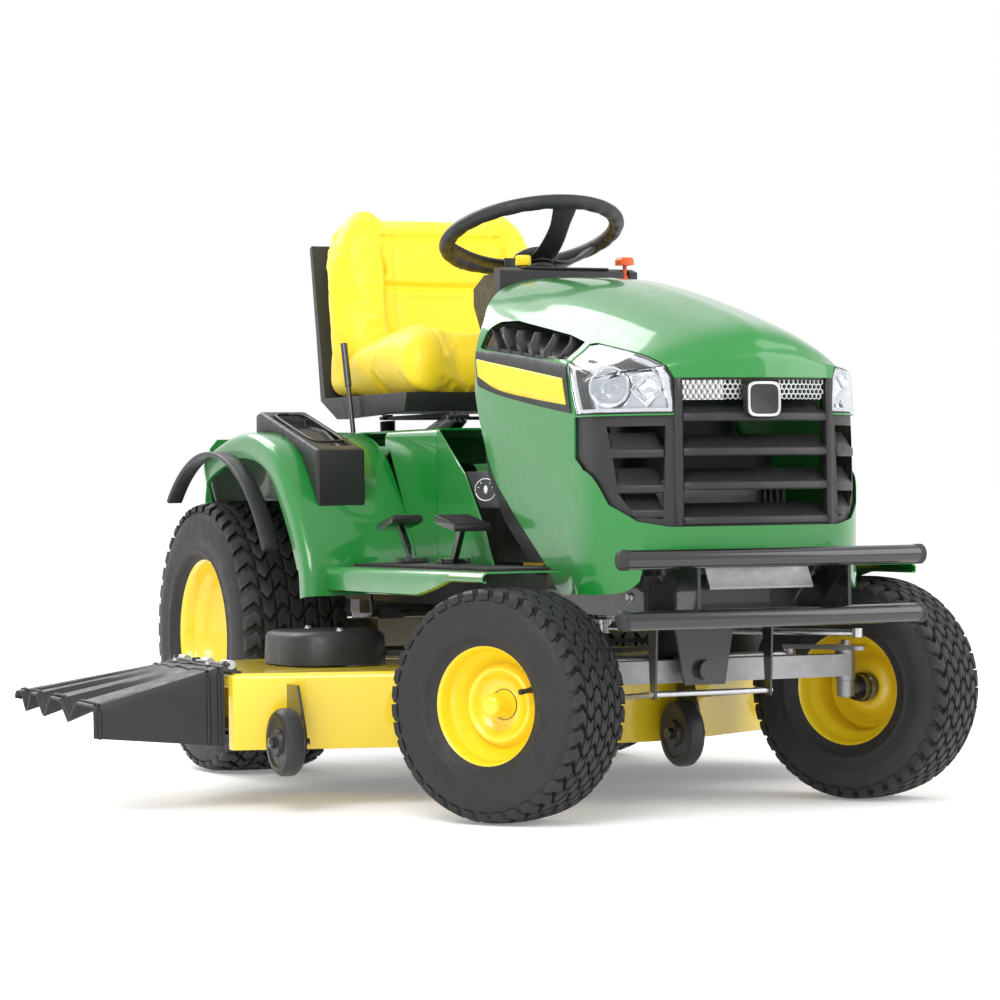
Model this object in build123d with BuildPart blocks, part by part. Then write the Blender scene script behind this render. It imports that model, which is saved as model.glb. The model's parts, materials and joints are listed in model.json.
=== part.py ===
from build123d import *
import os
from math import cos, radians, sin, sqrt

os.makedirs("parts", exist_ok=True)

# Riding lawn mower, millimetres. Modelling frame: X = 0 is the centre plane with +X to the driver's
# left, the machine drives towards -Y, Y = 0 is the front axle and Z = 0 the ground.

# ---- Driving dimensions -------------------------------------------------------------------------
WHEELBASE = 1250.0
RUN = 0.05                     # radial clearance of a running fit
GAP = 0.5                      # clearance between faces of different pieces
STEEL = 4.0                    # frame plate

FRONT_TYRE_R = 203.0           # 16 x 6.5 - 8 tyre
FRONT_TYRE_HALF = 82.0
FRONT_RIM_HALF = 68.0
FRONT_BEAD_R = 101.6
REAR_TYRE_R = 278.0            # 22 x 9.5 - 12 tyre
REAR_TYRE_HALF = 120.0
REAR_RIM_HALF = 100.0
REAR_BEAD_R = 152.4
REAR_TRACK_HALF = 368.0

KINGPIN_X = 315.0
KINGPIN_R = 10.0
SPINDLE_OFFSET = 70.0          # kingpin axis to the middle of the front wheel
STEER_REST = 30.0              # degrees to the driver's left, as parked
STUB_R = 9.5
ARM_IN = 45.0                  # tie-rod arm, inboard and rearward of the kingpin
ARM_BACK = 90.0
DRAG_ARM = 60.0                # drag-link arm, equal inboard and forward

AXLE_Z = 250.0
AXLE_PIN_R = 12.0
RAIL_X = 140.0                 # inner face of a frame rail
RAIL_W = 40.0
RAIL_Z = 350.0
RAIL_H = 65.0
RAIL_FRONT = -165.0
RAIL_REAR = 1500.0

BUMPER_R = 16.5
BUMPER_HALF = 289.0
BUMPER_Y = -304.0
BUMPER_BOW = 16.0
BUMPER_TOP_Z = 452.0
BUMPER_LOW_Z = 351.0
BRACKET_X = 185.0

HOOD_HALF = 262.0
HOOD_WALL = 4.0
HOOD_REAR = 470.0
HOOD_TOP = 972.0
HOOD_LOW = 393.0
HOOD_HINGE = (-250.0, 448.0)   # y, z of the tilt axis
HINGE_X = 120.0
GRILLE_LOW = 482.0
GRILLE_HIGH = 694.0
POST_X = 139.0                 # half-width of the middle grille

FOOT_Z = 435.0                 # top of the foot rests
FOOT_HALF = 430.0
FENDER_HALF = 470.0
FENDER_Z = 690.0
TUNNEL_HALF = 241.0
FENDER_T = 5.0
FENDER_REAR = 1480.0

COLUMN_TILT = 18.3             # steering column from vertical, degrees
WHEEL_CENTRE = (0.0, 644.0, 1066.0)
WHEEL_R = 167.0
GRIP_R = 15.0
SHAFT_R = 8.0
SHAFT_Y = 457.0                # lower steering shaft
PINION_R = 15.0
SECTOR_R = 90.0
SECTOR_Z = 321.0
SECTOR_T = 8.0

SEAT_HALF = 228.0
SEAT_Z = 765.0
SEAT_FRONT = 745.0
SEAT_PIVOT = (715.0, 715.0)    # y, z

DECK_LOW = 108.0
DECK_H = 138.0
DECK_WALL = 4.0
BLADE_X = 445.0                # outer spindles
BLADE_Y = 680.0
BLADE_MID_Y = 430.0
BLADE_R = 232.0
BLADE_TIP_GAP = 10.0
BLADE_Z = 128.0
PULLEY_R = 62.0
PULLEY_Z = 259.0
CHUTE_X = -710.0               # outer face of the deck beside the chute
CHUTE_Z = 262.0
CHUTE_Y0 = 430.0
CHUTE_Y1 = 716.0
CHUTE_REACH = 325.0
GAUGE_R = 61.0
GAUGE_HALF = 22.0
GAUGE_Z = 127.0

LINK_X = 100.0                 # front lift link
LINK_R = 5.0
LINK_FRONT = (-75.0, 212.0)    # y, z
LINK_BACK = (180.0, 190.0)
LIFT_SHAFT = (905.0, 328.0)    # y, z
LEVER_X = -237.0
CRANK = 120.0

CONTROLS = ((122.0, 486.0, 10.0), (-72.0, 530.0, 5.5), (-76.0, 580.0, 4.5))   # x, y, hole radius

HITCH_REACH = 62.0
HITCH_HOLE_R = 9.5
HITCH_Z = 300.0

# ---- Derived places ------------------------------------------------------------------------------
DECK_R = BLADE_R + BLADE_TIP_GAP
LEFT_EDGE = BLADE_X + DECK_R
CHUTE_TIP = CHUTE_X - CHUTE_REACH
FRONT_EDGE = BUMPER_Y - BUMPER_BOW - BUMPER_R
REAR_EDGE = RAIL_REAR + HITCH_REACH
TO_BASE_CENTRE = Location((-(LEFT_EDGE + CHUTE_TIP) / 2, -(FRONT_EDGE + REAR_EDGE) / 2, 0))


def turned(x, y, degrees=STEER_REST):
    """A plan vector turned about the vertical."""
    a = radians(degrees)
    return x * cos(a) - y * sin(a), x * sin(a) + y * cos(a)


# ---- Building helpers, used inside a BuildPart ----------------------------------------------------
def rod(start, end, radius, mode=Mode.ADD):
    """A round bar between two points."""
    start, end = Vector(*start), Vector(*end)
    with BuildSketch(Plane(origin=start, z_dir=end - start)) as ring:
        Circle(radius)
    extrude(ring.sketch, amount=(end - start).length, mode=mode)


def block(low, high, mode=Mode.ADD):
    """A box between two corners."""
    with Locations(tuple((a + b) / 2 for a, b in zip(low, high))):
        Box(*(b - a for a, b in zip(low, high)), mode=mode)


def plate(plane, points, thickness, mode=Mode.ADD):
    """A flat plate cut to an outline, on a plane."""
    with BuildSketch(plane) as outline:
        with BuildLine():
            Polyline(*points, close=True)
        make_face()
    extrude(outline.sketch, amount=thickness, mode=mode)


def side_plate(points, x_low, x_high, mode=Mode.ADD):
    """An outline of (y, z) points, extruded across the machine."""
    plate(Plane.YZ.offset(x_low), points, x_high - x_low, mode)


def front_plate(points, y_low, y_high, mode=Mode.ADD):
    """An outline of (x, z) points, extruded along the machine."""
    plate(Plane.XZ.offset(-y_high), points, y_high - y_low, mode)


def turn(points, centre, direction, mode=Mode.ADD):
    """Revolve an outline of (along the axis, radius) points about an axle."""
    along = Vector(*direction)
    up = Vector(0, 0, 1) if abs(along.Z) < 0.9 else Vector(0, 1, 0)
    with BuildSketch(Plane(origin=centre, x_dir=along, z_dir=along.cross(up))) as profile:
        with BuildLine():
            Polyline(*points, close=True)
        make_face()
    revolve(profile.sketch, axis=Axis(centre, tuple(along)), mode=mode)


def save(piece, label):
    """Move a finished piece to the base-centre frame, label it and write it."""
    placed = piece.part.moved(TO_BASE_CENTRE)
    placed.label = label
    export_step(placed, f"parts/{label}.step")


# ---- Frame -----------------------------------------------------------------------------------------
def make_frame_rails():
    with BuildPart() as frame_rails:
        for side in (-1, 1):
            inner, outer = side * RAIL_X, side * (RAIL_X + RAIL_W)
            web, top = outer - side * STEEL, RAIL_Z + RAIL_H
            channel = [(inner, RAIL_Z), (outer, RAIL_Z), (outer, top), (inner, top), (inner, top - STEEL),
                       (web, top - STEEL), (web, RAIL_Z + STEEL), (inner, RAIL_Z + STEEL)]
            front_plate(channel, RAIL_FRONT, RAIL_REAR)
    save(frame_rails, "frame_rails")


def make_crossmembers():
    span = RAIL_X + RAIL_W
    low, high = RAIL_Z, RAIL_Z + RAIL_H
    brackets = (make_hitch_plate(), make_axle_bracket(), make_steering_plate(), make_hood_pins())
    with BuildPart() as crossmembers:
        block((-span, RAIL_FRONT - 6, low - 20), (span, RAIL_FRONT, high + 6))
        block((-span, RAIL_REAR, HITCH_Z), (span, RAIL_REAR + 6, high))
        for y in (560.0, 1130.0):
            block((-RAIL_X, y, low + STEEL + 1), (RAIL_X, y + STEEL, high - STEEL - 1))
        for bracket in brackets:
            add(bracket)
    save(crossmembers, "frame_crossmembers")


def make_hitch_plate():
    with BuildPart() as hitch_plate:
        block((-90, RAIL_REAR + 6, HITCH_Z), (90, RAIL_REAR + 12, HITCH_Z + 90))
        block((-60, RAIL_REAR + 12, HITCH_Z), (60, RAIL_REAR + HITCH_REACH, HITCH_Z + 6))
        fillet(hitch_plate.edges().filter_by(Axis.Z).sort_by(Axis.Y)[-2:], 25)
        hole_y = RAIL_REAR + HITCH_REACH - 26
        rod((0, hole_y, HITCH_Z - 1), (0, hole_y, HITCH_Z + 7), HITCH_HOLE_R, mode=Mode.SUBTRACT)
    return hitch_plate.part


def make_bumper():
    with BuildPart() as bumper_tubes:
        for z in (BUMPER_TOP_Z, BUMPER_LOW_Z):
            with BuildLine() as bow:
                ThreePointArc((-BUMPER_HALF, BUMPER_Y, z), (0, BUMPER_Y - BUMPER_BOW, z), (BUMPER_HALF, BUMPER_Y, z))
            with BuildSketch(Plane(origin=bow.line @ 0, z_dir=bow.line % 0)) as section:
                Circle(BUMPER_R)
            sweep(section.sketch, path=bow.line)
    with BuildPart() as bumper_brackets:
        for side in (-1, 1):
            x = side * (BRACKET_X - 40)
            behind = BUMPER_Y - 4
            points = [(behind, BUMPER_LOW_Z - 18), (RAIL_FRONT - 6 - 6, BUMPER_LOW_Z - 16), (RAIL_FRONT - 12, RAIL_Z + 60),
                      (behind + 30, BUMPER_TOP_Z + 14), (behind, BUMPER_TOP_Z + 14)]
            side_plate(points, x - 3, x + 3)
            block((x - 24, RAIL_FRONT - 12, BUMPER_LOW_Z - 14), (x + 24, RAIL_FRONT - 6, RAIL_Z + 58))
        for z in (BUMPER_TOP_Z, BUMPER_LOW_Z):
            y = BUMPER_Y - BUMPER_BOW * 0.75
            rod((-BUMPER_HALF, y, z), (BUMPER_HALF, y, z), BUMPER_R - 2, mode=Mode.SUBTRACT)
        add(bumper_tubes.part)
    save(bumper_brackets, "bumper")


def make_axle_bracket():
    with BuildPart() as axle_bracket:
        for y in (-52.0, 46.0):
            front_plate([(-62, RAIL_Z), (62, RAIL_Z), (40, AXLE_Z - 26), (-40, AXLE_Z - 26)], y, y + 6)
        block((-RAIL_X, -96, RAIL_Z), (RAIL_X, 56, RAIL_Z + 5))
        y, z = LINK_FRONT
        for x in (-LINK_X - 16, LINK_X + 12):
            side_plate([(y - 18, RAIL_Z + 1), (y - 9, z - 9), (y + 9, z - 9), (y + 18, RAIL_Z + 1)], x, x + 4)
        rod((-LINK_X - 20, y, z), (LINK_X + 20, y, z), LINK_R + RUN, mode=Mode.SUBTRACT)
        rod((0, -60, AXLE_Z), (0, 60, AXLE_Z), AXLE_PIN_R)
        rod((0, -68, AXLE_Z), (0, -52, AXLE_Z), AXLE_PIN_R + 6)
        rod((0, 52, AXLE_Z), (0, 62, AXLE_Z), AXLE_PIN_R + 5)
    return axle_bracket.part


# ---- Front axle and steering -----------------------------------------------------------------------
def make_front_axle():
    beam_low, beam_high = 227.0, 267.0
    with BuildPart() as front_axle:
        block((-KINGPIN_X, -20, beam_low), (KINGPIN_X, 20, beam_high))
        rod((0, -38, AXLE_Z), (0, 38, AXLE_Z), AXLE_PIN_R + 14)
        for side in (-1, 1):
            x = side * KINGPIN_X
            rod((x, 0, 220), (x, 0, 276), KINGPIN_R + 8)
            rod((x, 0, 210), (x, 0, 290), KINGPIN_R + RUN, mode=Mode.SUBTRACT)
        rod((0, -40, AXLE_Z), (0, 40, AXLE_Z), AXLE_PIN_R + RUN, mode=Mode.SUBTRACT)
    save(front_axle, "front_axle")


def arm_end(side, along, back):
    """Where a steering arm's joint stands at rest."""
    x, y = turned(-side * along, back)
    return side * KINGPIN_X + x, y


def make_spindle(side, label):
    kx = side * KINGPIN_X
    axis_x, axis_y = turned(side, 0)
    reach = SPINDLE_OFFSET + 46
    tie = arm_end(side, ARM_IN, ARM_BACK)
    knee = arm_end(side, ARM_IN, 22)
    with BuildPart() as spindle:
        rod((kx, 0, 188), (kx, 0, 279), KINGPIN_R)
        rod((kx, 0, 190), (kx, 0, 219), KINGPIN_R + 6)
        rod((kx, 0, FRONT_TYRE_R), (kx + axis_x * reach, axis_y * reach, FRONT_TYRE_R), STUB_R)
        with BuildSketch(Plane.XY.offset(277)) as arm:
            with Locations((kx, 0)):
                Circle(17)
            with Locations(knee):
                Circle(14)
            make_hull()
        extrude(arm.sketch, amount=7)
        with BuildSketch(Plane.XY.offset(277)) as tail:
            with Locations(knee):
                Circle(14)
            with Locations(tie):
                Circle(13)
            make_hull()
        extrude(tail.sketch, amount=7)
        if side > 0:
            drag = arm_end(side, DRAG_ARM, -DRAG_ARM)
            with BuildSketch(Plane.XY.offset(277)) as lead:
                with Locations(knee):
                    Circle(14)
                with Locations(drag):
                    Circle(13)
                make_hull()
            extrude(lead.sketch, amount=7)
    save(spindle, label)


def make_tie_rod():
    right = arm_end(-1, ARM_IN, ARM_BACK)
    left = arm_end(1, ARM_IN, ARM_BACK)
    z = 266.0
    with BuildPart() as tie_rod:
        rod((*right, z), (*left, z), 6.5)
        for end in (right, left):
            rod((*end, z - 8), (*end, 277 - GAP), 11)
    save(tie_rod, "tie_rod")


def make_sector():
    pivot_y = SHAFT_Y - (SECTOR_R - PINION_R)
    arm_x, arm_y = turned(-DRAG_ARM, -DRAG_ARM)
    with BuildPart() as sector:
        with BuildSketch(Plane.XY.offset(SECTOR_Z)) as outline:
            with Locations((0, pivot_y)):
                Circle(SECTOR_R + 14)
                Circle(SECTOR_R + 3, mode=Mode.SUBTRACT)
                with PolarLocations(SECTOR_R + 1.5, 60):
                    RegularPolygon(3.6, 4, rotation=45)
                Rectangle(400, 180, align=(Align.CENTER, Align.MAX), mode=Mode.SUBTRACT)
            with Locations((0, pivot_y)):
                Circle(17)
            with BuildLine():
                Polyline((SECTOR_R + 12, pivot_y), (SECTOR_R - 8, pivot_y + 26), (8, pivot_y + 12),
                         (12, pivot_y - 10), close=True)
            make_face()
        extrude(outline.sketch, amount=SECTOR_T)
        with BuildSketch(Plane.XY.offset(SECTOR_Z)) as arm:
            with Locations((0, pivot_y)):
                Circle(17)
            with Locations((arm_x, pivot_y + arm_y)):
                Circle(12)
            make_hull()
        extrude(arm.sketch, amount=SECTOR_T)
        rod((0, pivot_y, SECTOR_Z - 2), (0, pivot_y, SECTOR_Z + SECTOR_T + 2), SHAFT_R + RUN, mode=Mode.SUBTRACT)
    save(sector, "sector_gear")
    with BuildPart() as pinion:
        with BuildSketch(Plane.XY.offset(SECTOR_Z - 2)) as teeth:
            with Locations((0, SHAFT_Y)):
                Circle(PINION_R - 4.5)
                with PolarLocations(PINION_R - 4.2, 10):
                    RegularPolygon(1.8, 4, rotation=45)
        extrude(teeth.sketch, amount=SECTOR_T + 4)
        rod((0, SHAFT_Y, SECTOR_Z + SECTOR_T + 2), (0, SHAFT_Y, 486), SHAFT_R)
        block((-19, SHAFT_Y - 7, 486), (-15, SHAFT_Y + 7, 512))
        block((15, SHAFT_Y - 7, 486), (19, SHAFT_Y + 7, 512))
        block((-19, SHAFT_Y - 9, 482), (19, SHAFT_Y + 9, 488))
    save(pinion, "steering_pinion")


def make_steering_plate():
    pivot_y = SHAFT_Y - (SECTOR_R - PINION_R)
    with BuildPart() as gear_plate:
        block((-RAIL_X, pivot_y - 40, RAIL_Z), (RAIL_X, SHAFT_Y + 40, RAIL_Z + 5))
        rod((0, pivot_y, SECTOR_Z - 1), (0, pivot_y, RAIL_Z), SHAFT_R)
        rod((0, pivot_y, SECTOR_Z - 8), (0, pivot_y, SECTOR_Z - GAP), SHAFT_R + 6)
        rod((0, SHAFT_Y, RAIL_Z - 1), (0, SHAFT_Y, RAIL_Z + 6), SHAFT_R + RUN, mode=Mode.SUBTRACT)
    return gear_plate.part


def make_drag_link():
    pivot_y = SHAFT_Y - (SECTOR_R - PINION_R)
    arm_x, arm_y = turned(-DRAG_ARM, -DRAG_ARM)
    rear = (arm_x, pivot_y + arm_y, SECTOR_Z - 9)
    spindle_x, spindle_y = arm_end(1, DRAG_ARM, -DRAG_ARM)
    front = (spindle_x, spindle_y, 308.0)
    with BuildPart() as drag_link:
        rod(rear, front, 6)
        rod((rear[0], rear[1], rear[2] - 8), (rear[0], rear[1], SECTOR_Z - GAP), 10)
        rod((front[0], front[1], 300), (front[0], front[1], 316), 10)
    save(drag_link, "drag_link")


def column_point(distance):
    """A point down the steering column from the middle of the wheel."""
    a = radians(COLUMN_TILT)
    return (0.0, WHEEL_CENTRE[1] - distance * sin(a), WHEEL_CENTRE[2] - distance * cos(a))


def make_steering_wheel():
    a = radians(COLUMN_TILT)
    normal = (0, sin(a), cos(a))
    rim_plane = Plane(origin=WHEEL_CENTRE, x_dir=(1, 0, 0), z_dir=normal)
    with BuildPart() as steering_wheel:
        with BuildSketch(Plane(origin=WHEEL_CENTRE, x_dir=(1, 0, 0), z_dir=(0, -cos(a), sin(a)))) as grip:
            with Locations((WHEEL_R, 0)):
                Circle(GRIP_R)
        revolve(grip.sketch, axis=Axis(WHEEL_CENTRE, normal))
        hub = column_point(62)
        rod(column_point(96), column_point(60), 20)
        rod(column_point(64), column_point(40), 34)
        for angle in (20, 160, 270):
            out = rim_plane.from_local_coords(Vector((WHEEL_R - 4) * cos(radians(angle)), (WHEEL_R - 4) * sin(radians(angle)), 0))
            rod(hub, tuple(out), 10)
        rod(column_point(50), column_point(590), SHAFT_R)
        end = column_point(590)
        block((-9, end[1] - 7, end[2] - 8), (9, end[1] + 7, end[2] + 12))
    save(steering_wheel, "steering_wheel")
    with BuildPart() as column:
        rod(column_point(104), column_point(470), SHAFT_R + 16)
        rod(column_point(100), column_point(480), SHAFT_R + 1, mode=Mode.SUBTRACT)
        rod(column_point(112), column_point(100), SHAFT_R + RUN)
        rod(column_point(90), column_point(114), SHAFT_R + RUN, mode=Mode.SUBTRACT)
    save(column, "steering_column")


# ---- Wheels ------------------------------------------------------------------------------------------
def rim_outline(half, bead, hub_from, hub_to, hub_r, bore, web):
    """Half section of a pressed rim with a drop centre, a dished web and a hub."""
    lip, drop, skin = bead + 14, bead - 13, 3.5
    return ([(-half, lip), (-half + 4, lip), (-half + 6, bead), (-half + 28, bead - 2), (-half + 40, drop),
             (half - 40, drop), (half - 28, bead - 2), (half - 6, bead), (half - 4, lip), (half, lip),
             (half, bead - skin), (half - 27, bead - skin - 3), (half - 41, drop - skin - 8), (web + 14, drop * 0.68),
             (web, drop * 0.42), (web, hub_r), (hub_to, hub_r), (hub_to, bore), (hub_from, bore),
             (hub_from, hub_r), (web - 5, hub_r), (web - 5, drop * 0.42 + 3), (web + 8, drop * 0.68 + 3),
             (half - 52, drop - skin), (-half + 38, drop - skin), (-half + 27, bead - skin - 3),
             (-half, bead - skin)])


def tyre_outline(half, radius, bead, seat, wall):
    """Half section of a tyre casing, open towards the rim."""
    belly = bead + (radius - bead) * 0.5
    outside = [(-seat, bead + 0.4), (-seat, bead + 15), (-half * 0.97, bead + 32), (-half, belly), (-half * 0.93, radius - 22),
               (-half * 0.74, radius - 6), (-half * 0.35, radius - 0.8)]
    inside = [(seat - 13, bead + 0.4), (seat - 13, bead + 16), (half - wall, belly - 6), (half - wall, belly + 4),
              (half * 0.93 - wall, radius - 24 - wall * 0.5), (half * 0.6, radius - wall - 6)]
    mirrored = [(-along, r) for along, r in reversed(outside)]
    return (outside + [(0, radius)] + mirrored + inside + [(0, radius - wall - 3)]
            + [(-along, r) for along, r in reversed(inside)])


def make_front_wheel(side, suffix):
    axis_x, axis_y = turned(side, 0)
    centre = (side * KINGPIN_X + axis_x * SPINDLE_OFFSET, axis_y * SPINDLE_OFFSET, FRONT_TYRE_R)
    direction = (axis_x, axis_y, 0)
    with BuildPart() as rim:
        turn(rim_outline(FRONT_RIM_HALF, FRONT_BEAD_R, -34, 34, 22, STUB_R + RUN, 10), centre, direction)
        turn([(33, 0), (52, 0), (52, 14), (47, 20), (33, 21.5)], centre, direction)
        turn([(30, 0), (46.5, 0), (46.5, STUB_R + 1), (30, STUB_R + 1)], centre, direction, mode=Mode.SUBTRACT)
    save(rim, f"rim_{suffix}")
    with BuildPart() as tyre:
        turn(tyre_outline(FRONT_TYRE_HALF, FRONT_TYRE_R, FRONT_BEAD_R, FRONT_RIM_HALF - 7, 9), centre, direction)
    save(tyre, f"tyre_{suffix}")


def make_rear_wheel(side, suffix):
    centre = (side * REAR_TRACK_HALF, WHEELBASE, REAR_TYRE_R)
    direction = (side, 0, 0)
    with BuildPart() as rim:
        turn(rim_outline(REAR_RIM_HALF, REAR_BEAD_R, -6, 26, 34, 12, 16), centre, direction)
        inner, outer = side * 120, side * (REAR_TRACK_HALF + 32)
        rod((inner, WHEELBASE, REAR_TYRE_R), (outer, WHEELBASE, REAR_TYRE_R), 12.5)
    save(rim, f"rim_{suffix}")
    with BuildPart() as tyre:
        turn(tyre_outline(REAR_TYRE_HALF, REAR_TYRE_R, REAR_BEAD_R, REAR_RIM_HALF - 7, 11), centre, direction)
    save(tyre, f"tyre_{suffix}")


def make_transaxle():
    with BuildPart() as transaxle:
        block((-112, WHEELBASE - 70, REAR_TYRE_R - 62), (112, WHEELBASE + 75, REAR_TYRE_R + 60))
        fillet(transaxle.edges().filter_by(Axis.X), 22)
        for side in (-1, 1):
            rod((side * 112, WHEELBASE, REAR_TYRE_R), (side * 235, WHEELBASE, REAR_TYRE_R), 30)
        block((-135, WHEELBASE - 25, REAR_TYRE_R + 40), (135, WHEELBASE + 25, RAIL_Z))
        rod((-240, WHEELBASE, REAR_TYRE_R), (240, WHEELBASE, REAR_TYRE_R), 12.5 + RUN, mode=Mode.SUBTRACT)
    save(transaxle, "transaxle")


# ---- Engine ------------------------------------------------------------------------------------------
def make_engine():
    with BuildPart() as engine_block:
        block((-118, -70, RAIL_Z + RAIL_H), (118, 190, 585))
        fillet(engine_block.edges().filter_by(Axis.Z), 26)
        for side in (-1, 1):
            for layer in range(6):
                x = side * (118 + layer * 13)
                block((min(x, x + side * 13), 5, 470), (max(x, x + side * 13), 115, 550))
                block((min(x, x + side * 5), -12, 452), (max(x, x + side * 5), 132, 568))
    save(engine_block, "engine_block")
    with BuildPart() as blower_housing:
        with BuildSketch(Plane.XY.offset(586)) as foot:
            with Locations((0, 60)):
                RectangleRounded(300, 300, 70)
        extrude(foot.sketch, amount=60, taper=6)
        rod((0, 60, 640), (0, 60, 690), 112)
    save(blower_housing, "blower_housing")
    with BuildPart() as muffler:
        block((-150, -158, 440), (150, -80, 520))
        fillet(muffler.edges().filter_by(Axis.X), 24)
        rod((-116, -120, 443), (-116, -120, 405), 15)
        block((-100, -200, 446), (100, -157, 450))
        side_plate([(-262, 402), (-228, 462), (-224, 459), (-257, 402)], -100, 100)
        block((-100, -262, 398), (100, -186, 402))
        side_plate([(-198, 400), (-194, 400), (-194, 450), (-198, 450)], -30, 30)
    save(muffler, "muffler")


# ---- Hood --------------------------------------------------------------------------------------------
HOOD_STATIONS = ((0, 0, 0, 0), (90, 9, 7, 8), (150, 26, 22, 40), (205, 58, 46, 88), (245, 108, 76, 122),
                 (HOOD_HALF, 152, 108, 140))


def hood_section(x, inset):
    """Side view of the hood at a distance from the centre plane, moved in by a wall."""
    span = max(HOOD_STATIONS[-1][0] - inset, 1)
    u = min(abs(x) * HOOD_HALF / span, HOOD_HALF)
    for low, high in zip(HOOD_STATIONS, HOOD_STATIONS[1:]):
        if u <= high[0]:
            share = (u - low[0]) / (high[0] - low[0])
            nose, drop, tail = (a + (b - a) * share for a, b in zip(low[1:], high[1:]))
            break
    front = BUMPER_Y + 32 + nose + inset
    top = -drop - inset
    open_end = 60 if inset else 0
    rear = HOOD_REAR - tail + open_end
    foot = HOOD_LOW - open_end
    return [(front - 3, foot), (front, 480), (front + 8, 690 + top * 0.3), (front + 2, 764 + top * 0.5),
            (front + 6, 838 + top * 0.8), (front + 44, 868 + top * 0.95), (-40, 905 + top), (263, 958 + top),
            (431 - tail * 0.8, HOOD_TOP - 1 + top), (rear, HOOD_TOP + top), (rear - 30, 850 - drop * 0.3), (370 - tail * 0.1 + open_end, 767 - drop * 0.2),
            (293 + open_end, 619), (130 + open_end, 490 - open_end * 0.4), (-16 + open_end, foot)]


def hood_solid(inset, mode=Mode.ADD):
    """The hood's outer form, or the same form moved in by a wall."""
    half = HOOD_HALF - inset
    stations = [s[0] * half / HOOD_HALF for s in HOOD_STATIONS]
    places = [-x for x in reversed(stations[1:])] + stations
    faces = []
    for x in places:
        with BuildSketch(Plane.YZ.offset(x)) as section:
            with BuildLine():
                Polyline(*hood_section(x, inset), close=True)
            make_face()
        faces.append(section.sketch)
    loft(faces, ruled=True, mode=mode)


def hood_band(outer, inner):
    """A skin that follows the hood between two insets."""
    hood_solid(outer)
    hood_solid(inner, mode=Mode.SUBTRACT)


def keep_box(low, high):
    """Keep only what lies in a box."""
    block(low, high, mode=Mode.INTERSECT)


def make_hood():
    nose = BUMPER_Y
    leaves, vents = make_hood_leaves(), make_side_vents()
    with BuildPart() as hood_shell:
        hood_band(0, HOOD_WALL)
        block((-HOOD_HALF - 5, nose - 10, GRILLE_LOW), (HOOD_HALF + 5, -95, GRILLE_HIGH), mode=Mode.SUBTRACT)
        block((-POST_X, nose - 10, GRILLE_HIGH - 1), (POST_X, -150, 756), mode=Mode.SUBTRACT)
        for side in (-1, 1):
            low, high = sorted((side * (POST_X + 11), side * (HOOD_HALF + 5)))
            block((low, nose - 10, GRILLE_HIGH + 6), (high, -45, 790), mode=Mode.SUBTRACT)
            side_plate([(20, 792), (-10, 806), (250, 848), (300, 812), (300, 792)], side * (HOOD_HALF - 20) - 25,
                       side * (HOOD_HALF - 20) + 25, mode=Mode.SUBTRACT)
        block((-212, nose - 10, HOOD_LOW - 10), (212, -150, 462), mode=Mode.SUBTRACT)
        add(leaves)
    save(hood_shell, "hood_shell")
    with BuildPart() as grille:
        hood_band(HOOD_WALL + GAP, HOOD_WALL + 16)
        keep_box((-HOOD_HALF, nose - 10, GRILLE_LOW - 10), (HOOD_HALF, -92, 762))
        for row in range(4):
            z = GRILLE_LOW + 22 + row * 52
            block((-POST_X + 12, nose - 10, z), (POST_X - 12, -150, z + 26), mode=Mode.SUBTRACT)
            for side in (-1, 1):
                low, high = sorted((side * (POST_X + 16), side * (HOOD_HALF - 30)))
                block((low, nose - 10, z), (high, -120, z + 30), mode=Mode.SUBTRACT)
        for side in (-1, 1):
            low, high = sorted((side * (POST_X + 4), side * (HOOD_HALF + 5)))
            block((low, nose - 10, GRILLE_HIGH - 4), (high, -60, 765), mode=Mode.SUBTRACT)
        block((-POST_X + 10, nose - 10, GRILLE_HIGH + 4), (POST_X - 10, -150, 750), mode=Mode.SUBTRACT)
        block((-POST_X, nose + 44, GRILLE_HIGH), (POST_X, nose + 48, 754))
        add(vents)
    save(grille, "grille")
    make_headlights(nose)
    make_hood_trim()


def make_headlights(nose):
    with BuildPart() as headlight_lenses:
        hood_band(HOOD_WALL + 2 * GAP, 2 * HOOD_WALL + 2 * GAP)
        keep_box((-HOOD_HALF, nose - 10, GRILLE_HIGH), (HOOD_HALF, -40, 796))
        block((-POST_X - 6, nose - 10, GRILLE_HIGH - 5), (POST_X + 6, 0, 800), mode=Mode.SUBTRACT)
    save(headlight_lenses, "headlight_lenses")
    with BuildPart() as headlight_reflectors:
        hood_band(HOOD_WALL + 20, HOOD_WALL + 24)
        keep_box((-HOOD_HALF, nose - 10, GRILLE_HIGH + 2), (HOOD_HALF, -50, 792))
        block((-POST_X - 10, nose - 10, GRILLE_HIGH - 5), (POST_X + 10, 0, 800), mode=Mode.SUBTRACT)
    save(headlight_reflectors, "headlight_reflectors")


def make_side_vents():
    with BuildPart() as side_vents:
        for side in (-1, 1):
            low, high = sorted((side * (HOOD_HALF - HOOD_WALL - GAP), side * (HOOD_HALF - HOOD_WALL - 6)))
            side_plate([(-20, 784), (-14, 792), (258, 792), (300, 792), (300, 784)], low, high)
            for fin in range(6):
                y = 20 + fin * 46
                side_plate([(y, 786), (y + 14, 786), (y + 40, 806 + fin * 5), (y + 26, 806 + fin * 5)], low, high)
    return side_vents.part


def make_hood_trim():
    with BuildPart() as side_stripes:
        for side in (-1, 1):
            low, high = sorted((side * (HOOD_HALF + GAP), side * (HOOD_HALF + 2.5)))
            side_plate([(-34, 726), (300, 742), (318, 774), (-30, 772)], low, high)
        front = BUMPER_Y + 32
        with BuildSketch(Plane.XZ.offset(-front - 6)) as face:
            with Locations((0, 722)):
                RectangleRounded(66, 60, 20)
        extrude(face.sketch, amount=7)
    save(side_stripes, "side_stripes")


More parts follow.
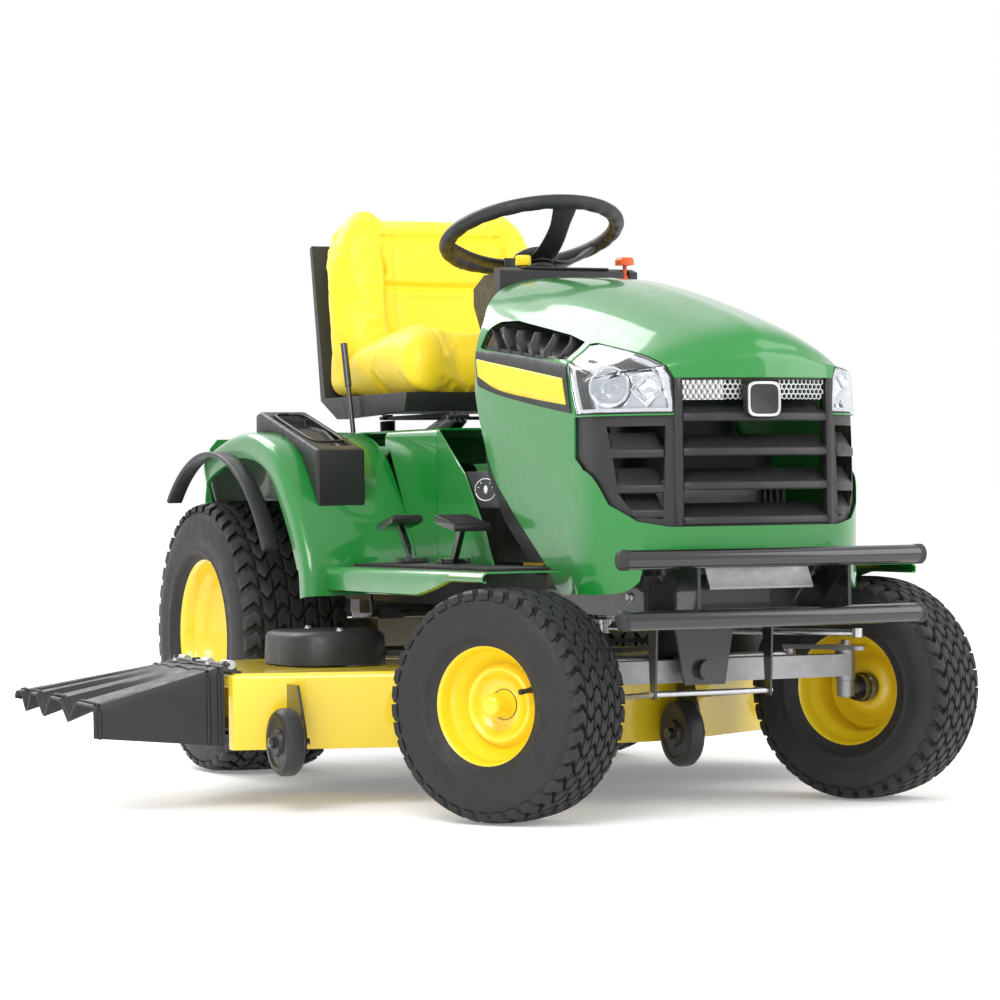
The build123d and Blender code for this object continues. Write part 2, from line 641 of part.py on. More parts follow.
def make_hood_leaves():
    y, z = HOOD_HINGE
    with BuildPart() as hinge:
        for side in (-1, 1):
            x = side * HINGE_X
            side_plate([(y - 12, z - 12), (y + 14, z - 12), (y + 14, z + 23), (y - 3, z + 23)], x - 3, x + 3)
            rod((x - 4, y, z), (x + 4, y, z), 6 + RUN, mode=Mode.SUBTRACT)
    return hinge.part


def make_hood_pins():
    y, z = HOOD_HINGE
    with BuildPart() as pins:
        for side in (-1, 1):
            rod((side * (HINGE_X - 12), y, z), (side * (HINGE_X + 5), y, z), 6)
            low, high = sorted((side * (HINGE_X - 11), side * (HINGE_X - 6)))
            side_plate([(y - 9, z - 9), (y + 9, z + 9), (RAIL_FRONT - 6, RAIL_Z + 60),
                        (RAIL_FRONT - 6, RAIL_Z + 20)], low, high)
    return pins.part


# ---- Dash and body -----------------------------------------------------------------------------------
def make_dash():
    pieces = (make_column_cover(), make_side_panels(), make_dash_panel())
    with BuildPart() as dash:
        outline = [(300, 436), (560, 436), (575, 560), (640, 850), (690, 930), (690, 962), (640, 986), (500, 992),
                   (478, 985), (478, 930), (430, 800), (345, 640), (300, 560)]
        side_plate(outline, -105, 105)
        side_plate([(300, 436), (505, 436), (505, 992), (500, 992), (478, 985), (478, 930), (430, 800), (345, 640),
                    (300, 560)], -145, 145)
        inner = [(290, 430), (566, 430), (566, 560), (628, 850), (676, 935), (676, 955), (635, 974), (505, 980),
                 (494, 975), (494, 930), (446, 805), (360, 650), (290, 560)]
        side_plate(inner, -98, 98, mode=Mode.SUBTRACT)
        side_plate([(290, 430), (498, 430), (498, 979), (494, 975), (494, 930), (446, 805), (360, 650), (290, 560)],
                   -138, 138, mode=Mode.SUBTRACT)
        rod(column_point(60), column_point(200), SHAFT_R + 16 + GAP, mode=Mode.SUBTRACT)
        for x, y, r in CONTROLS:
            rod((x, y, 955), (x, y, 1000), r, mode=Mode.SUBTRACT)
        for piece in pieces:
            add(piece)
    save(dash, "dash_tower")


def make_column_cover():
    with BuildPart() as bellows:
        turn([(-140, 24 + GAP), (-70, 24 + GAP), (-74, 31), (-84, 43), (-104, 62), (-140, 80)],
             WHEEL_CENTRE, (0, sin(radians(COLUMN_TILT)), cos(radians(COLUMN_TILT))))
        block((-200, 400, 800), (200, 800, 992.6), mode=Mode.SUBTRACT)
    return bellows.part


def make_side_panels():
    with BuildPart() as side_panels:
        for side in (-1, 1):
            low, high = sorted((side * (HOOD_HALF - 14), side * (HOOD_HALF - 10)))
            side_plate([(-6, 402), (60, 402), (60, 440), (135, 446), (239, 517), (306, 600), (330, 700), (306, 700), (200, 600),
                        (100, 500), (-6, 412)], low, high)
            low, high = sorted((side * 144, side * (HOOD_HALF - 10)))
            block((low, 300, 600), (high, 306, 640))
    return side_panels.part


def make_dash_controls():
    (lever_x, lever_y, _), (knob_x, knob_y, _), (key_x, key_y, _) = CONTROLS
    with BuildPart() as throttle:
        rod((lever_x, lever_y, 975), (lever_x, lever_y - 1, 1004), 4)
        rod((lever_x - 6, lever_y, 975), (lever_x + 6, lever_y, 975), 5)
        block((lever_x - 13, lever_y - 14, 999), (lever_x + 13, lever_y + 14, 1014))
        fillet(throttle.faces().sort_by(Axis.Z)[-1].edges(), 6)
    save(throttle, "throttle_lever")
    with BuildPart() as pto_knob:
        rod((knob_x, knob_y, 960), (knob_x, knob_y, 1000), 5)
        rod((knob_x, knob_y, 998), (knob_x, knob_y, 1018), 15)
        fillet(pto_knob.faces().sort_by(Axis.Z)[-1].edges(), 5)
    save(pto_knob, "blade_knob")
    with BuildPart() as key:
        rod((key_x, key_y, 965), (key_x, key_y, 998), 4)
        block((key_x - 12, key_y - 2, 994), (key_x + 12, key_y + 2, 1016))
    save(key, "ignition_key")


def make_dash_panel():
    with BuildPart() as dash_panel:
        with BuildSketch(Plane.XY.offset(990.5)) as face:
            with Locations((0, 530)):
                RectangleRounded(190, 86, 18)
        extrude(face.sketch, amount=3)
        for x, y, r in CONTROLS:
            rod((x, y, 980), (x, y, 1000), r, mode=Mode.SUBTRACT)
        rod(column_point(60), column_point(120), 80, mode=Mode.SUBTRACT)
    return dash_panel.part


def make_fender():
    ramp = [(-60, FOOT_Z - 7), (625, FOOT_Z - 7), (650, FOOT_Z), (745, 560), (800, FENDER_Z), (FENDER_REAR, FENDER_Z)]
    t = FENDER_T
    under = [(FENDER_REAR, FENDER_Z - t), (803, FENDER_Z - t), (750, 556), (655, FOOT_Z - t - 3),
             (640, FOOT_Z - t - 7), (-60, FOOT_Z - t - 7)]
    arch = [(650, 372), (662, FOOT_Z), (745, 560), (820, 640), (900, 676), (1000, 688), (1120, 674), (1250, 636),
            (1400, 558), (FENDER_REAR, 480)]
    arch_under = [(FENDER_REAR - t, 478), (1397, 552), (1248, 630), (1118, 668), (1000, 682), (902, 670),
                  (824, 635), (750, 556), (667, FOOT_Z - 4), (656, 372)]
    brackets = make_pedal_brackets()
    with BuildPart() as fender_deck:
        side_plate(ramp + under, -250, 250)
        for side in (-1, 1):
            low, high = sorted((side * 248, side * FENDER_HALF))
            side_plate(arch + arch_under, low, high)
            low, high = sorted((side * 246, side * 251))
            side_plate([(660, 425), (745, 559), (803, FENDER_Z - 2), (FENDER_REAR, FENDER_Z - 2), (FENDER_REAR, 470),
                        (1397, 552), (1248, 632), (1118, 560), (950, 500), (760, 440)], low, high)
            low, high = sorted((side * 245, side * FOOT_HALF))
            block((low, -60, FOOT_Z - 12), (high, 662, FOOT_Z - 7))
            low, high = sorted((side * (FOOT_HALF - t), side * FOOT_HALF))
            side_plate([(-60, 421), (110, 421), (190, 388), (658, 388), (658, FOOT_Z), (-60, FOOT_Z)], low, high)
            low, high = sorted((side * (FENDER_HALF - t), side * FENDER_HALF))
            side_plate([(640, 360), (662, FOOT_Z + 5), (748, 562), (822, 641), (901, 677), (1000, 689), (1000, 672),
                        (905, 660), (838, 622), (768, 540), (690, 420), (668, 360)], low, high)
            low, high = sorted((side * TUNNEL_HALF, side * (TUNNEL_HALF - t)))
            side_plate([(300, 426), (652, 426), (745, 557), (800, FENDER_Z - 2), (560, FENDER_Z - 2), (430, 600)],
                       low, high)
        block((-TUNNEL_HALF, 560, FENDER_Z - t), (TUNNEL_HALF, 806, FENDER_Z))
        block((-152, 550, FENDER_Z - 10), (152, 612, FENDER_Z + 2), mode=Mode.SUBTRACT)
        block((-FENDER_HALF, FENDER_REAR - t, 482), (FENDER_HALF, FENDER_REAR, FENDER_Z - 2))
        block((-205, -70, 400), (205, 580, 470), mode=Mode.SUBTRACT)
        block((-HOOD_HALF - 8, -70, 380), (HOOD_HALF + 8, 75, 450), mode=Mode.SUBTRACT)
        for side in (-1, 1):
            plate(Plane.XY.offset(450), [(side * 480, 1240), (side * 471, 1240), (side * 396, 1400),
                                         (side * 380, 1490), (side * 480, 1490)], 250, mode=Mode.SUBTRACT)
        block((LEVER_X - 8, 812, FENDER_Z - 10), (LEVER_X + 8, 1098, FENDER_Z + 2), mode=Mode.SUBTRACT)
        add(brackets)
    save(fender_deck, "fender_deck")


def make_flares():
    with BuildPart() as flares:
        low, high = FENDER_HALF + GAP, FENDER_HALF + 34
        with BuildSketch(Plane.YZ.offset(low)) as ring:
            with Locations((1130, 290)):
                Circle(366)
                Circle(356, mode=Mode.SUBTRACT)
        extrude(ring.sketch, amount=high - low)
        wedge = [(1130, 290), (510, 620), (830, 900), (1330, 900), (1550, 740)]
        side_plate(wedge, low - 1, high + 1, mode=Mode.INTERSECT)
        mirror(about=Plane.YZ)
    save(flares, "fender_flares")


def make_consoles():
    with BuildPart() as consoles:
        side_plate([(726, 541), (726, 653), (1035, 733), (1060, 728), (1060, 686), (1000, 691), (900, 679),
                    (815, 643), (744, 565)], 322, 422)
        fillet(consoles.edges().filter_by(Axis.X).group_by(Axis.Z)[-1], 6)
        side_plate([(760, 630), (760, 720), (1000, 760), (1000, 702), (900, 689), (815, 656)], 336, 408,
                   mode=Mode.SUBTRACT)
        mirror(about=Plane.YZ)
    save(consoles, "console_boxes")


def make_foot_mats():
    with BuildPart() as foot_mats:
        for side in (-1, 1):
            low, high = sorted((side * (HOOD_HALF + 12), side * (FOOT_HALF - 12)))
            block((low, -40, FOOT_Z - 7 + GAP), (high, 600, FOOT_Z - 3))
            for pad in range(11):
                y = pad * 54
                block((low + 14, y, FOOT_Z - 3), (high - 14, y + 30, FOOT_Z - 1))
        for x, y in PEDAL_FEET:
            block((x - 34, y - 50, FOOT_Z - 8), (x + 34, y + 16, FOOT_Z), mode=Mode.SUBTRACT)
    save(foot_mats, "foot_mats")


PEDALS = (("forward_pedal", -300, 360, -44, 74, 92), ("reverse_pedal", -320, 502, 62, 62, 78),
          ("brake_pedal", 305, 300, -44, 96, 84))          # name, x, y, lean of the arm, pad width, pad length
PEDAL_FEET = tuple(pedal[1:3] for pedal in PEDALS)


def make_pedals():
    for label, x, y, lean, pad_w, pad_l in PEDALS:
        pad_y, rise = y + lean, 8 if lean < 0 else -8
        with BuildPart() as pedal:
            rod((x + 20, y, FOOT_Z + 4), (x - 20, y, FOOT_Z + 4), 8)
            side_plate([(y - 9, FOOT_Z + 4), (y + 9, FOOT_Z + 4), (pad_y + 8, 508), (pad_y - 8, 508)], x - 5, x + 5)
            side_plate([(pad_y - pad_l / 2, 505 - rise), (pad_y + pad_l / 2, 505 + rise),
                        (pad_y + pad_l / 2, 515 + rise), (pad_y - pad_l / 2, 515 - rise)],
                       x - pad_w / 2, x + pad_w / 2)
            rod((x + 30, y, FOOT_Z + 4), (x - 30, y, FOOT_Z + 4), 5 + RUN, mode=Mode.SUBTRACT)
        save(pedal, label)


def make_pedal_brackets():
    with BuildPart() as pedal_brackets:
        for x, y in PEDAL_FEET:
            rod((x - 32, y, FOOT_Z + 4), (x + 32, y, FOOT_Z + 4), 5)
            for end in (x - 30, x + 24):
                block((end, y - 12, FOOT_Z - 8), (end + 6, y + 12, FOOT_Z + 14))
    return pedal_brackets.part


# ---- Seat --------------------------------------------------------------------------------------------
def make_seat():
    with BuildPart() as seat_cushion:
        outline = [(SEAT_FRONT, SEAT_Z + 6), (SEAT_FRONT - 2, SEAT_Z + 60), (SEAT_FRONT + 40, SEAT_Z + 98),
                   (1070, SEAT_Z + 88), (1085, SEAT_Z + 2), (1070, SEAT_Z)]
        side_plate(outline, -SEAT_HALF, SEAT_HALF)
        fillet(seat_cushion.edges().filter_by(Axis.X).group_by(Axis.Z)[-1], 18)
    save(seat_cushion, "seat_cushion")
    with BuildPart() as seat_back:
        side_plate([(1088, SEAT_Z + 4), (1078, SEAT_Z + 90), (1120, 1120), (1150, 1152), (1200, 1156), (1232, 1130),
                    (1205, 900), (1180, SEAT_Z + 4)], -SEAT_HALF, SEAT_HALF)
        fillet(seat_back.edges().filter_by(Axis.X).group_by(Axis.Z)[-1], 14)
    save(seat_back, "seat_back")
    with BuildPart() as seat_shell:
        pan = [(SEAT_FRONT + 8, SEAT_Z - GAP), (SEAT_FRONT + 20, 728), (1120, 720), (1210, 760), (1228, 880),
               (1262, 1080), (1250, 1084), (1208 + 4, 900), (1184 + 2, SEAT_Z - GAP)]
        side_plate(pan, -SEAT_HALF + 6, SEAT_HALF - 6)
        side_plate([(SEAT_FRONT + 40, 728), (SEAT_FRONT + 46, 736), (1110, 730), (1190, 752), (1110, 690), (SEAT_FRONT, 690)],
                   -SEAT_HALF + 30, SEAT_HALF - 30, mode=Mode.SUBTRACT)
        y, z = SEAT_PIVOT
        for side in (-1, 1):
            x = side * 130
            block((x - 7, y + 30, z + 2), (x + 7, 1085, z + 9))
            side_plate([(y - 14, z - 12), (y + 14, z - 12), (y + 46, z + 9), (y + 6, z + 9)], x - 3, x + 3)
            rod((x - 9, y, z), (x + 9, y, z), 6 + RUN, mode=Mode.SUBTRACT)
            block((x - 7, 1060, z + 9), (x + 7, 1085, z + 13))
        block((-144, 1062, z + 2), (144, 1082, z + 9))
    save(seat_shell, "seat_shell")
    with BuildPart() as seat_pivot:
        for side in (-1, 1):
            for x in (side * 119, side * 141):
                side_plate([(y - 12, z - 10), (y + 8, z + 10), (860, FENDER_Z + GAP), (800, FENDER_Z + GAP),
                            (y + 20, FENDER_Z + GAP)], x - 3, x + 3)
            rod((side * 108, y, z), (side * 152, y, z), 6)
    save(seat_pivot, "seat_pivot")
    with BuildPart() as seat_springs:
        for side in (-1, 1):
            rod((side * 130, 1072, FENDER_Z + GAP), (side * 130, 1072, z + 2 - GAP), 17)
            rod((side * 130, 1072, FENDER_Z - 5), (side * 130, 1072, z + 3), 11, mode=Mode.SUBTRACT)
    save(seat_springs, "seat_springs")


# ---- Mower deck --------------------------------------------------------------------------------------
SPINDLES = ((-BLADE_X, BLADE_Y), (0.0, BLADE_MID_Y), (BLADE_X, BLADE_Y))


def deck_hull(inset):
    """Plan outline of the deck: one hull round the three cutting circles and the discharge side."""
    with BuildSketch(Plane.XY.offset(DECK_LOW if not inset else DECK_LOW - 1)) as outline:
        with Locations(*SPINDLES):
            Circle(DECK_R - inset)
        with Locations((-BLADE_X - 140, (CHUTE_Y0 + CHUTE_Y1 + 27) / 2)):
            Rectangle(-2 * (CHUTE_X + BLADE_X + 140) - 2 * inset, CHUTE_Y1 - CHUTE_Y0 + 43 - 2 * inset)
        make_hull()
    return outline.sketch


def make_deck():
    with BuildPart() as deck_shell:
        extrude(deck_hull(0), amount=DECK_H)
        fillet(deck_shell.faces().sort_by(Axis.Z)[-1].edges(), 12)
        extrude(deck_hull(DECK_WALL), amount=DECK_H - DECK_WALL + 1, mode=Mode.SUBTRACT)
        block((CHUTE_X - 5, CHUTE_Y0 + 15, DECK_LOW - 1), (CHUTE_X + 60, CHUTE_Y1 - 15, DECK_LOW + 112), mode=Mode.SUBTRACT)
        for x, y in SPINDLES:
            rod((x, y, DECK_LOW + 60), (x, y, DECK_LOW + DECK_H + 1), 30, mode=Mode.SUBTRACT)
    save(deck_shell, "deck_shell")
    top = DECK_LOW + DECK_H
    with BuildPart() as housings:
        for x, y in SPINDLES:
            rod((x, y, top - 34), (x, y, PULLEY_Z - 2), 29)
            rod((x, y, top), (x, y, top + 5), 56)
            rod((x, y, top - 40), (x, y, PULLEY_Z), 10 + RUN, mode=Mode.SUBTRACT)
    save(housings, "spindle_housings")
    for number, (x, y) in enumerate(SPINDLES, 1):
        with BuildPart() as spindle:
            rod((x, y, BLADE_Z - 12), (x, y, PULLEY_Z + 24), 10)
            rod((x, y, PULLEY_Z), (x, y, PULLEY_Z + 15), PULLEY_R)
            with BuildSketch(Plane(origin=(x, y, 0), x_dir=(1, 0, 0), z_dir=(0, -1, 0))) as groove:
                with BuildLine():
                    Polyline((PULLEY_R - 9, PULLEY_Z + 7.5), (PULLEY_R + 1, PULLEY_Z + 2.5), (PULLEY_R + 1, PULLEY_Z + 12.5), close=True)
                make_face()
            revolve(groove.sketch, axis=Axis((x, y, 0), (0, 0, 1)), mode=Mode.SUBTRACT)
            block((x - BLADE_R + 2, y - 28, BLADE_Z), (x + BLADE_R - 2, y + 28, BLADE_Z + 5))
            for end in (-1, 1):
                low, high = sorted((x + end * (BLADE_R - 72), x + end * (BLADE_R - 14)))
                side_plate([(y - end * 27, BLADE_Z + 5), (y - end * 12, BLADE_Z + 4), (y - end * 27, BLADE_Z + 22)],
                           low, high)
        save(spindle, f"blade_{number}")
    make_belt()


def make_belt():
    z = PULLEY_Z + 3
    with BuildPart() as belt:
        with BuildSketch(Plane.XY.offset(z)) as loop:
            with Locations(*SPINDLES):
                Circle(PULLEY_R + 5)
            make_hull()
        extrude(loop.sketch, amount=9)
        with BuildSketch(Plane.XY.offset(z - 1)) as inside:
            with Locations(*SPINDLES):
                Circle(PULLEY_R + 0.4)
            make_hull()
        extrude(inside.sketch, amount=11, mode=Mode.SUBTRACT)
    save(belt, "deck_belt")


GAUGE_WHEELS = ((-648.0, 318.0, 74.0), (560.0, 385.0, 104.0), (44.0, 122.0, 80.0))   # x, y, bracket reach


def make_gauge_wheels():
    hinge = make_chute_hinge()
    back_y, back_z = LINK_BACK
    with BuildPart() as gauge_brackets:
        for x, y, reach in GAUGE_WHEELS:
            arm_x = x + (GAUGE_HALF + 8)
            side_plate([(y - 14, GAUGE_Z - 14), (y + 14, GAUGE_Z - 14), (y + reach, DECK_LOW + 20),
                        (y + reach, DECK_LOW + 118), (y + 20, DECK_LOW + 118), (y - 14, GAUGE_Z + 16)],
                       arm_x, arm_x + 5)
            rod((x - GAUGE_HALF - 6, y, GAUGE_Z), (arm_x + 14, y, GAUGE_Z), 6)
            rod((x - GAUGE_HALF - 10, y, GAUGE_Z), (x - GAUGE_HALF - 2, y, GAUGE_Z), 10)
        for side in (-1, 1):
            low, high = sorted((side * (LINK_X - 14), side * (LINK_X - 11)))
            side_plate([(back_y - 28, back_z - 13), (back_y - 28, back_z + 13), (back_y + 27, back_z + 20),
                        (back_y + 27, back_z - 20)], low, high)
            block((low - 1, back_y - 20, back_z - 7), (high + 1, back_y + 8, back_z + 7), mode=Mode.SUBTRACT)
        add(hinge)
    save(gauge_brackets, "deck_brackets")
    for number, (x, y, _) in enumerate(GAUGE_WHEELS, 1):
        with BuildPart() as gauge_wheel:
            turn([(-GAUGE_HALF, 22), (-GAUGE_HALF, GAUGE_R - 12), (-GAUGE_HALF + 8, GAUGE_R), (GAUGE_HALF - 8, GAUGE_R),
                  (GAUGE_HALF, GAUGE_R - 12), (GAUGE_HALF, 22), (GAUGE_HALF - 6, 20), (GAUGE_HALF - 6, 6 + RUN),
                  (-GAUGE_HALF + 6, 6 + RUN), (-GAUGE_HALF + 6, 20)], (x, y, GAUGE_Z), (1, 0, 0))
        save(gauge_wheel, f"gauge_wheel_{number}")


def make_chute():
    x0, z0 = CHUTE_X - 5, CHUTE_Z
    tip, y0, y1 = CHUTE_TIP, CHUTE_Y0 + 4, CHUTE_Y1 - 4
    with BuildPart() as chute:
        front_plate([(x0 - 12, z0 - 4), (x0 - 12, z0 + 1), (x0 - 100, z0 - 2), (tip, z0 - 56), (tip, z0 - 62),
                     (x0 - 100, z0 - 7)], y0 + 6, y1)
        for low, high in ((y0 + 2, y0 + 7), (y1 - 5, y1)):
            drop = 100 if low < CHUTE_Y0 + 50 else 60
            front_plate([(x0 - 14, z0), (x0 - 100, z0 - 3), (tip + 6, z0 - 57), (tip + 44, z0 - 60 - drop * 0.45),
                         (x0 - 14, z0 - drop - 40)], low, high)
        for rib in range(3):
            y = y0 + 70 + rib * 76
            front_plate([(x0 - 60, z0 - 1), (tip + 12, z0 - 56), (tip + 6, z0 - 62), (x0 - 60, z0 - 8)], y, y + 7)
        for y in (y0 + 14, (y0 + y1) / 2 - 24, y1 - 62):
            rod((x0, y, z0), (x0, y + 48, z0), 8)
            block((x0 - 14, y, z0 - 4), (x0, y + 48, z0 + 2))
        rod((x0, y0 - 10, z0), (x0, y1 + 10, z0), 4 + RUN, mode=Mode.SUBTRACT)
    save(chute, "chute")


def make_chute_hinge():
    x0, z0, y0, y1 = CHUTE_X - 5, CHUTE_Z, CHUTE_Y0 + 4, CHUTE_Y1 - 4
    with BuildPart() as hinge_pin:
        rod((x0, y0 - 4, z0), (x0, y1 + 6, z0), 4)
        ears = (y0 + 2, (y0 + y1) / 2 + 30, y1 - 8)
        for y in ears:
            front_plate([(x0 - 7, z0 - 7), (x0 - 7, z0 + 7), (x0 + 7, z0 + 7), (x0 + 22, z0 - 13), (x0 + 6, z0 - 13)], y, y + 5)
        block((CHUTE_X + 3, y0, DECK_LOW + DECK_H), (CHUTE_X + 22, y1, DECK_LOW + DECK_H + 4))
    return hinge_pin.part


def make_lift():
    back_y, back_z = LINK_BACK
    front_y, front_z = LINK_FRONT
    with BuildPart() as front_link:
        rod((-LINK_X - 20, front_y, front_z), (LINK_X + 20, front_y, front_z), LINK_R)
        for side in (-1, 1):
            rod((side * LINK_X, front_y, front_z), (side * LINK_X, back_y, back_z), LINK_R)
            rod((side * (LINK_X + 4), back_y, back_z), (side * (LINK_X - 18), back_y, back_z), LINK_R)
    save(front_link, "front_lift_link")
    y, z = LIFT_SHAFT
    lean = radians(14)
    reach = 470
    with BuildPart() as lift_lever:
        rod((LEVER_X, y, z), (226, y, z), 8)
        for side in (-1, 1):
            x = side * 222
            side_plate([(y + 12, z - 8), (y + 12, z + 10), (y - 12, z + 14), (y - CRANK, z + 5), (y - CRANK, z - 5),
                        (y - 12, z - 10)], x - 4, x + 4)
        knee = (LEVER_X, y + reach * sin(lean), z + reach * cos(lean))
        rod((LEVER_X, y, z), knee, 5)
        grip = (LEVER_X, y + (reach + 90) * sin(lean), z + (reach + 90) * cos(lean))
        rod(knee, grip, 7)
    save(lift_lever, "lift_lever")


# ---- Inside pieces -------------------------------------------------------------------------------------
def make_services():
    with BuildPart() as battery:
        block((-95, 905, RAIL_Z + RAIL_H + 2), (95, 1070, 600))
        for side in (-1, 1):
            rod((side * 62, 935, 600), (side * 62, 935, 616), 8)
    save(battery, "battery")
    with BuildPart() as fuel_tank:
        block((-105, 1130, RAIL_Z + RAIL_H + 2), (105, 1420, 630))
        fillet(fuel_tank.edges(), 24)
        rod((0, 1380, 628), (0, 1380, 668), 32)
    save(fuel_tank, "fuel_tank")


make_frame_rails()
make_crossmembers()
make_bumper()
make_front_axle()
make_spindle(-1, "spindle_r")
make_spindle(1, "spindle_l")
make_tie_rod()
make_sector()
make_drag_link()
make_steering_wheel()
make_front_wheel(-1, "fr")
make_front_wheel(1, "fl")
make_rear_wheel(-1, "rr")
make_rear_wheel(1, "rl")
make_transaxle()
make_engine()
make_hood()
make_dash()
make_dash_controls()
make_fender()
make_flares()
make_consoles()
make_foot_mats()
make_pedals()
make_seat()
make_deck()
make_gauge_wheels()
make_chute()
make_lift()
make_services()
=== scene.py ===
"""Riding lawn mower: the finished look of every piece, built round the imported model."""

import json
from math import cos, pi, radians, sin, sqrt

import bmesh
import bpy
import numpy as np
from bpy.props import FloatProperty, FloatVectorProperty, IntProperty, PointerProperty
from bpy.types import Operator, Panel, PropertyGroup
from mathutils import Matrix, Vector
from mathutils.bvhtree import BVHTree

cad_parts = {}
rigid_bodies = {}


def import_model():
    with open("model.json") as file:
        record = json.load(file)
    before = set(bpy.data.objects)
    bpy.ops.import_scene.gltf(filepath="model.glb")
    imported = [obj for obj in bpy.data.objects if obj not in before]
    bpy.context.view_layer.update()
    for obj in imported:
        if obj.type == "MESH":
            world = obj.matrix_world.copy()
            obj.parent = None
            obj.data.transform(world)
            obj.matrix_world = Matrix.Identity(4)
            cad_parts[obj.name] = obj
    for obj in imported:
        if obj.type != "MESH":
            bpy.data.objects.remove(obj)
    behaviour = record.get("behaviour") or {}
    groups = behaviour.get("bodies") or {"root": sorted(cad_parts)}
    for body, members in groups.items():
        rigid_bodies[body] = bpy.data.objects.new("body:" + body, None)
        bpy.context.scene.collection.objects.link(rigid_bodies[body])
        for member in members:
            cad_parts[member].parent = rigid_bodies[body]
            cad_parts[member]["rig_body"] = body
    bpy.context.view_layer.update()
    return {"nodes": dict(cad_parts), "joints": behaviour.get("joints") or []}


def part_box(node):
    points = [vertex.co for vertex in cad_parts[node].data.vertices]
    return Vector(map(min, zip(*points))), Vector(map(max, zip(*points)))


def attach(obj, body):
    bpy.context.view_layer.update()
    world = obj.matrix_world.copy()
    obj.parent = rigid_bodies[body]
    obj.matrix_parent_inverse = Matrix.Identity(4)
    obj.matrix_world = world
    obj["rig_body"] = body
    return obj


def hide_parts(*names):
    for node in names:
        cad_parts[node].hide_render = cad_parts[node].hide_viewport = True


bl_info = {
    "name": "Riding mower",
    "version": (1, 0, 0),
    "blender": (4, 5, 0),
    "location": "View3D > Sidebar > Mower",
    "description": "Builds the bodywork, seat, wheels and fittings of a riding mower",
    "category": "Add Mesh",
}

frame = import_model()
MM = 0.001


def middle(node):
    """Middle of a node's box."""
    low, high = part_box(node)
    return (low + high) / 2


# The machine's own axes: X = 0 is the centre plane, Y = 0 the front axle, Z = 0 the ground.
DATUM = Vector((middle("frame_rails").x, middle("front_axle").y, 0))


def at(x, y, z):
    """A place given in millimetres from the front axle, on the ground, in the centre plane."""
    return Vector((x, y, z)) * MM + DATUM


# ---- Settings ------------------------------------------------------------------------------------
class PaintSettings(PropertyGroup):
    green: FloatVectorProperty(name="Body green", description="Enamel on the bodywork", subtype="COLOR",
                               size=3, min=0, max=1, default=(0.004, 0.19, 0.022))
    yellow: FloatVectorProperty(name="Yellow", description="Enamel on the deck and rims", subtype="COLOR",
                                size=3, min=0, max=1, default=(0.86, 0.62, 0.012))
    vinyl: FloatVectorProperty(name="Seat yellow", description="Vinyl of the seat", subtype="COLOR",
                               size=3, min=0, max=1, default=(0.90, 0.66, 0.015))
    black: FloatVectorProperty(name="Moulding black", description="Plastic mouldings", subtype="COLOR",
                               size=3, min=0, max=1, default=(0.018, 0.018, 0.019))


class HoodSettings(PropertyGroup):
    wall: FloatProperty(name="Wall", description="Thickness of the hood's skin", unit="LENGTH", default=0.0035)
    slats: IntProperty(name="Slats", description="Slats in the middle grille", default=4, min=1)
    cell: FloatProperty(name="Mesh cell", description="Pitch of the honeycomb strip", unit="LENGTH", default=0.0095)
    fins: IntProperty(name="Fins", description="Fins in a side vent", default=6, min=1)


class WheelSettings(PropertyGroup):
    lug: FloatProperty(name="Tread depth", description="Height of the tread blocks", unit="LENGTH", default=0.007)
    front_pitches: IntProperty(name="Front pitches", description="Tread blocks round a front tyre", default=38)
    rear_pitches: IntProperty(name="Rear pitches", description="Tread blocks round a rear tyre", default=40)


class SeatSettings(PropertyGroup):
    voxel: FloatProperty(name="Voxel", description="Grain of the padding's mesh", unit="LENGTH", default=0.006)
    swell: FloatProperty(name="Swell", description="Most that the padding may swell", unit="LENGTH", default=0.022)
    seam: FloatProperty(name="Seam depth", description="How deep a seam pulls in", unit="LENGTH", default=0.007)


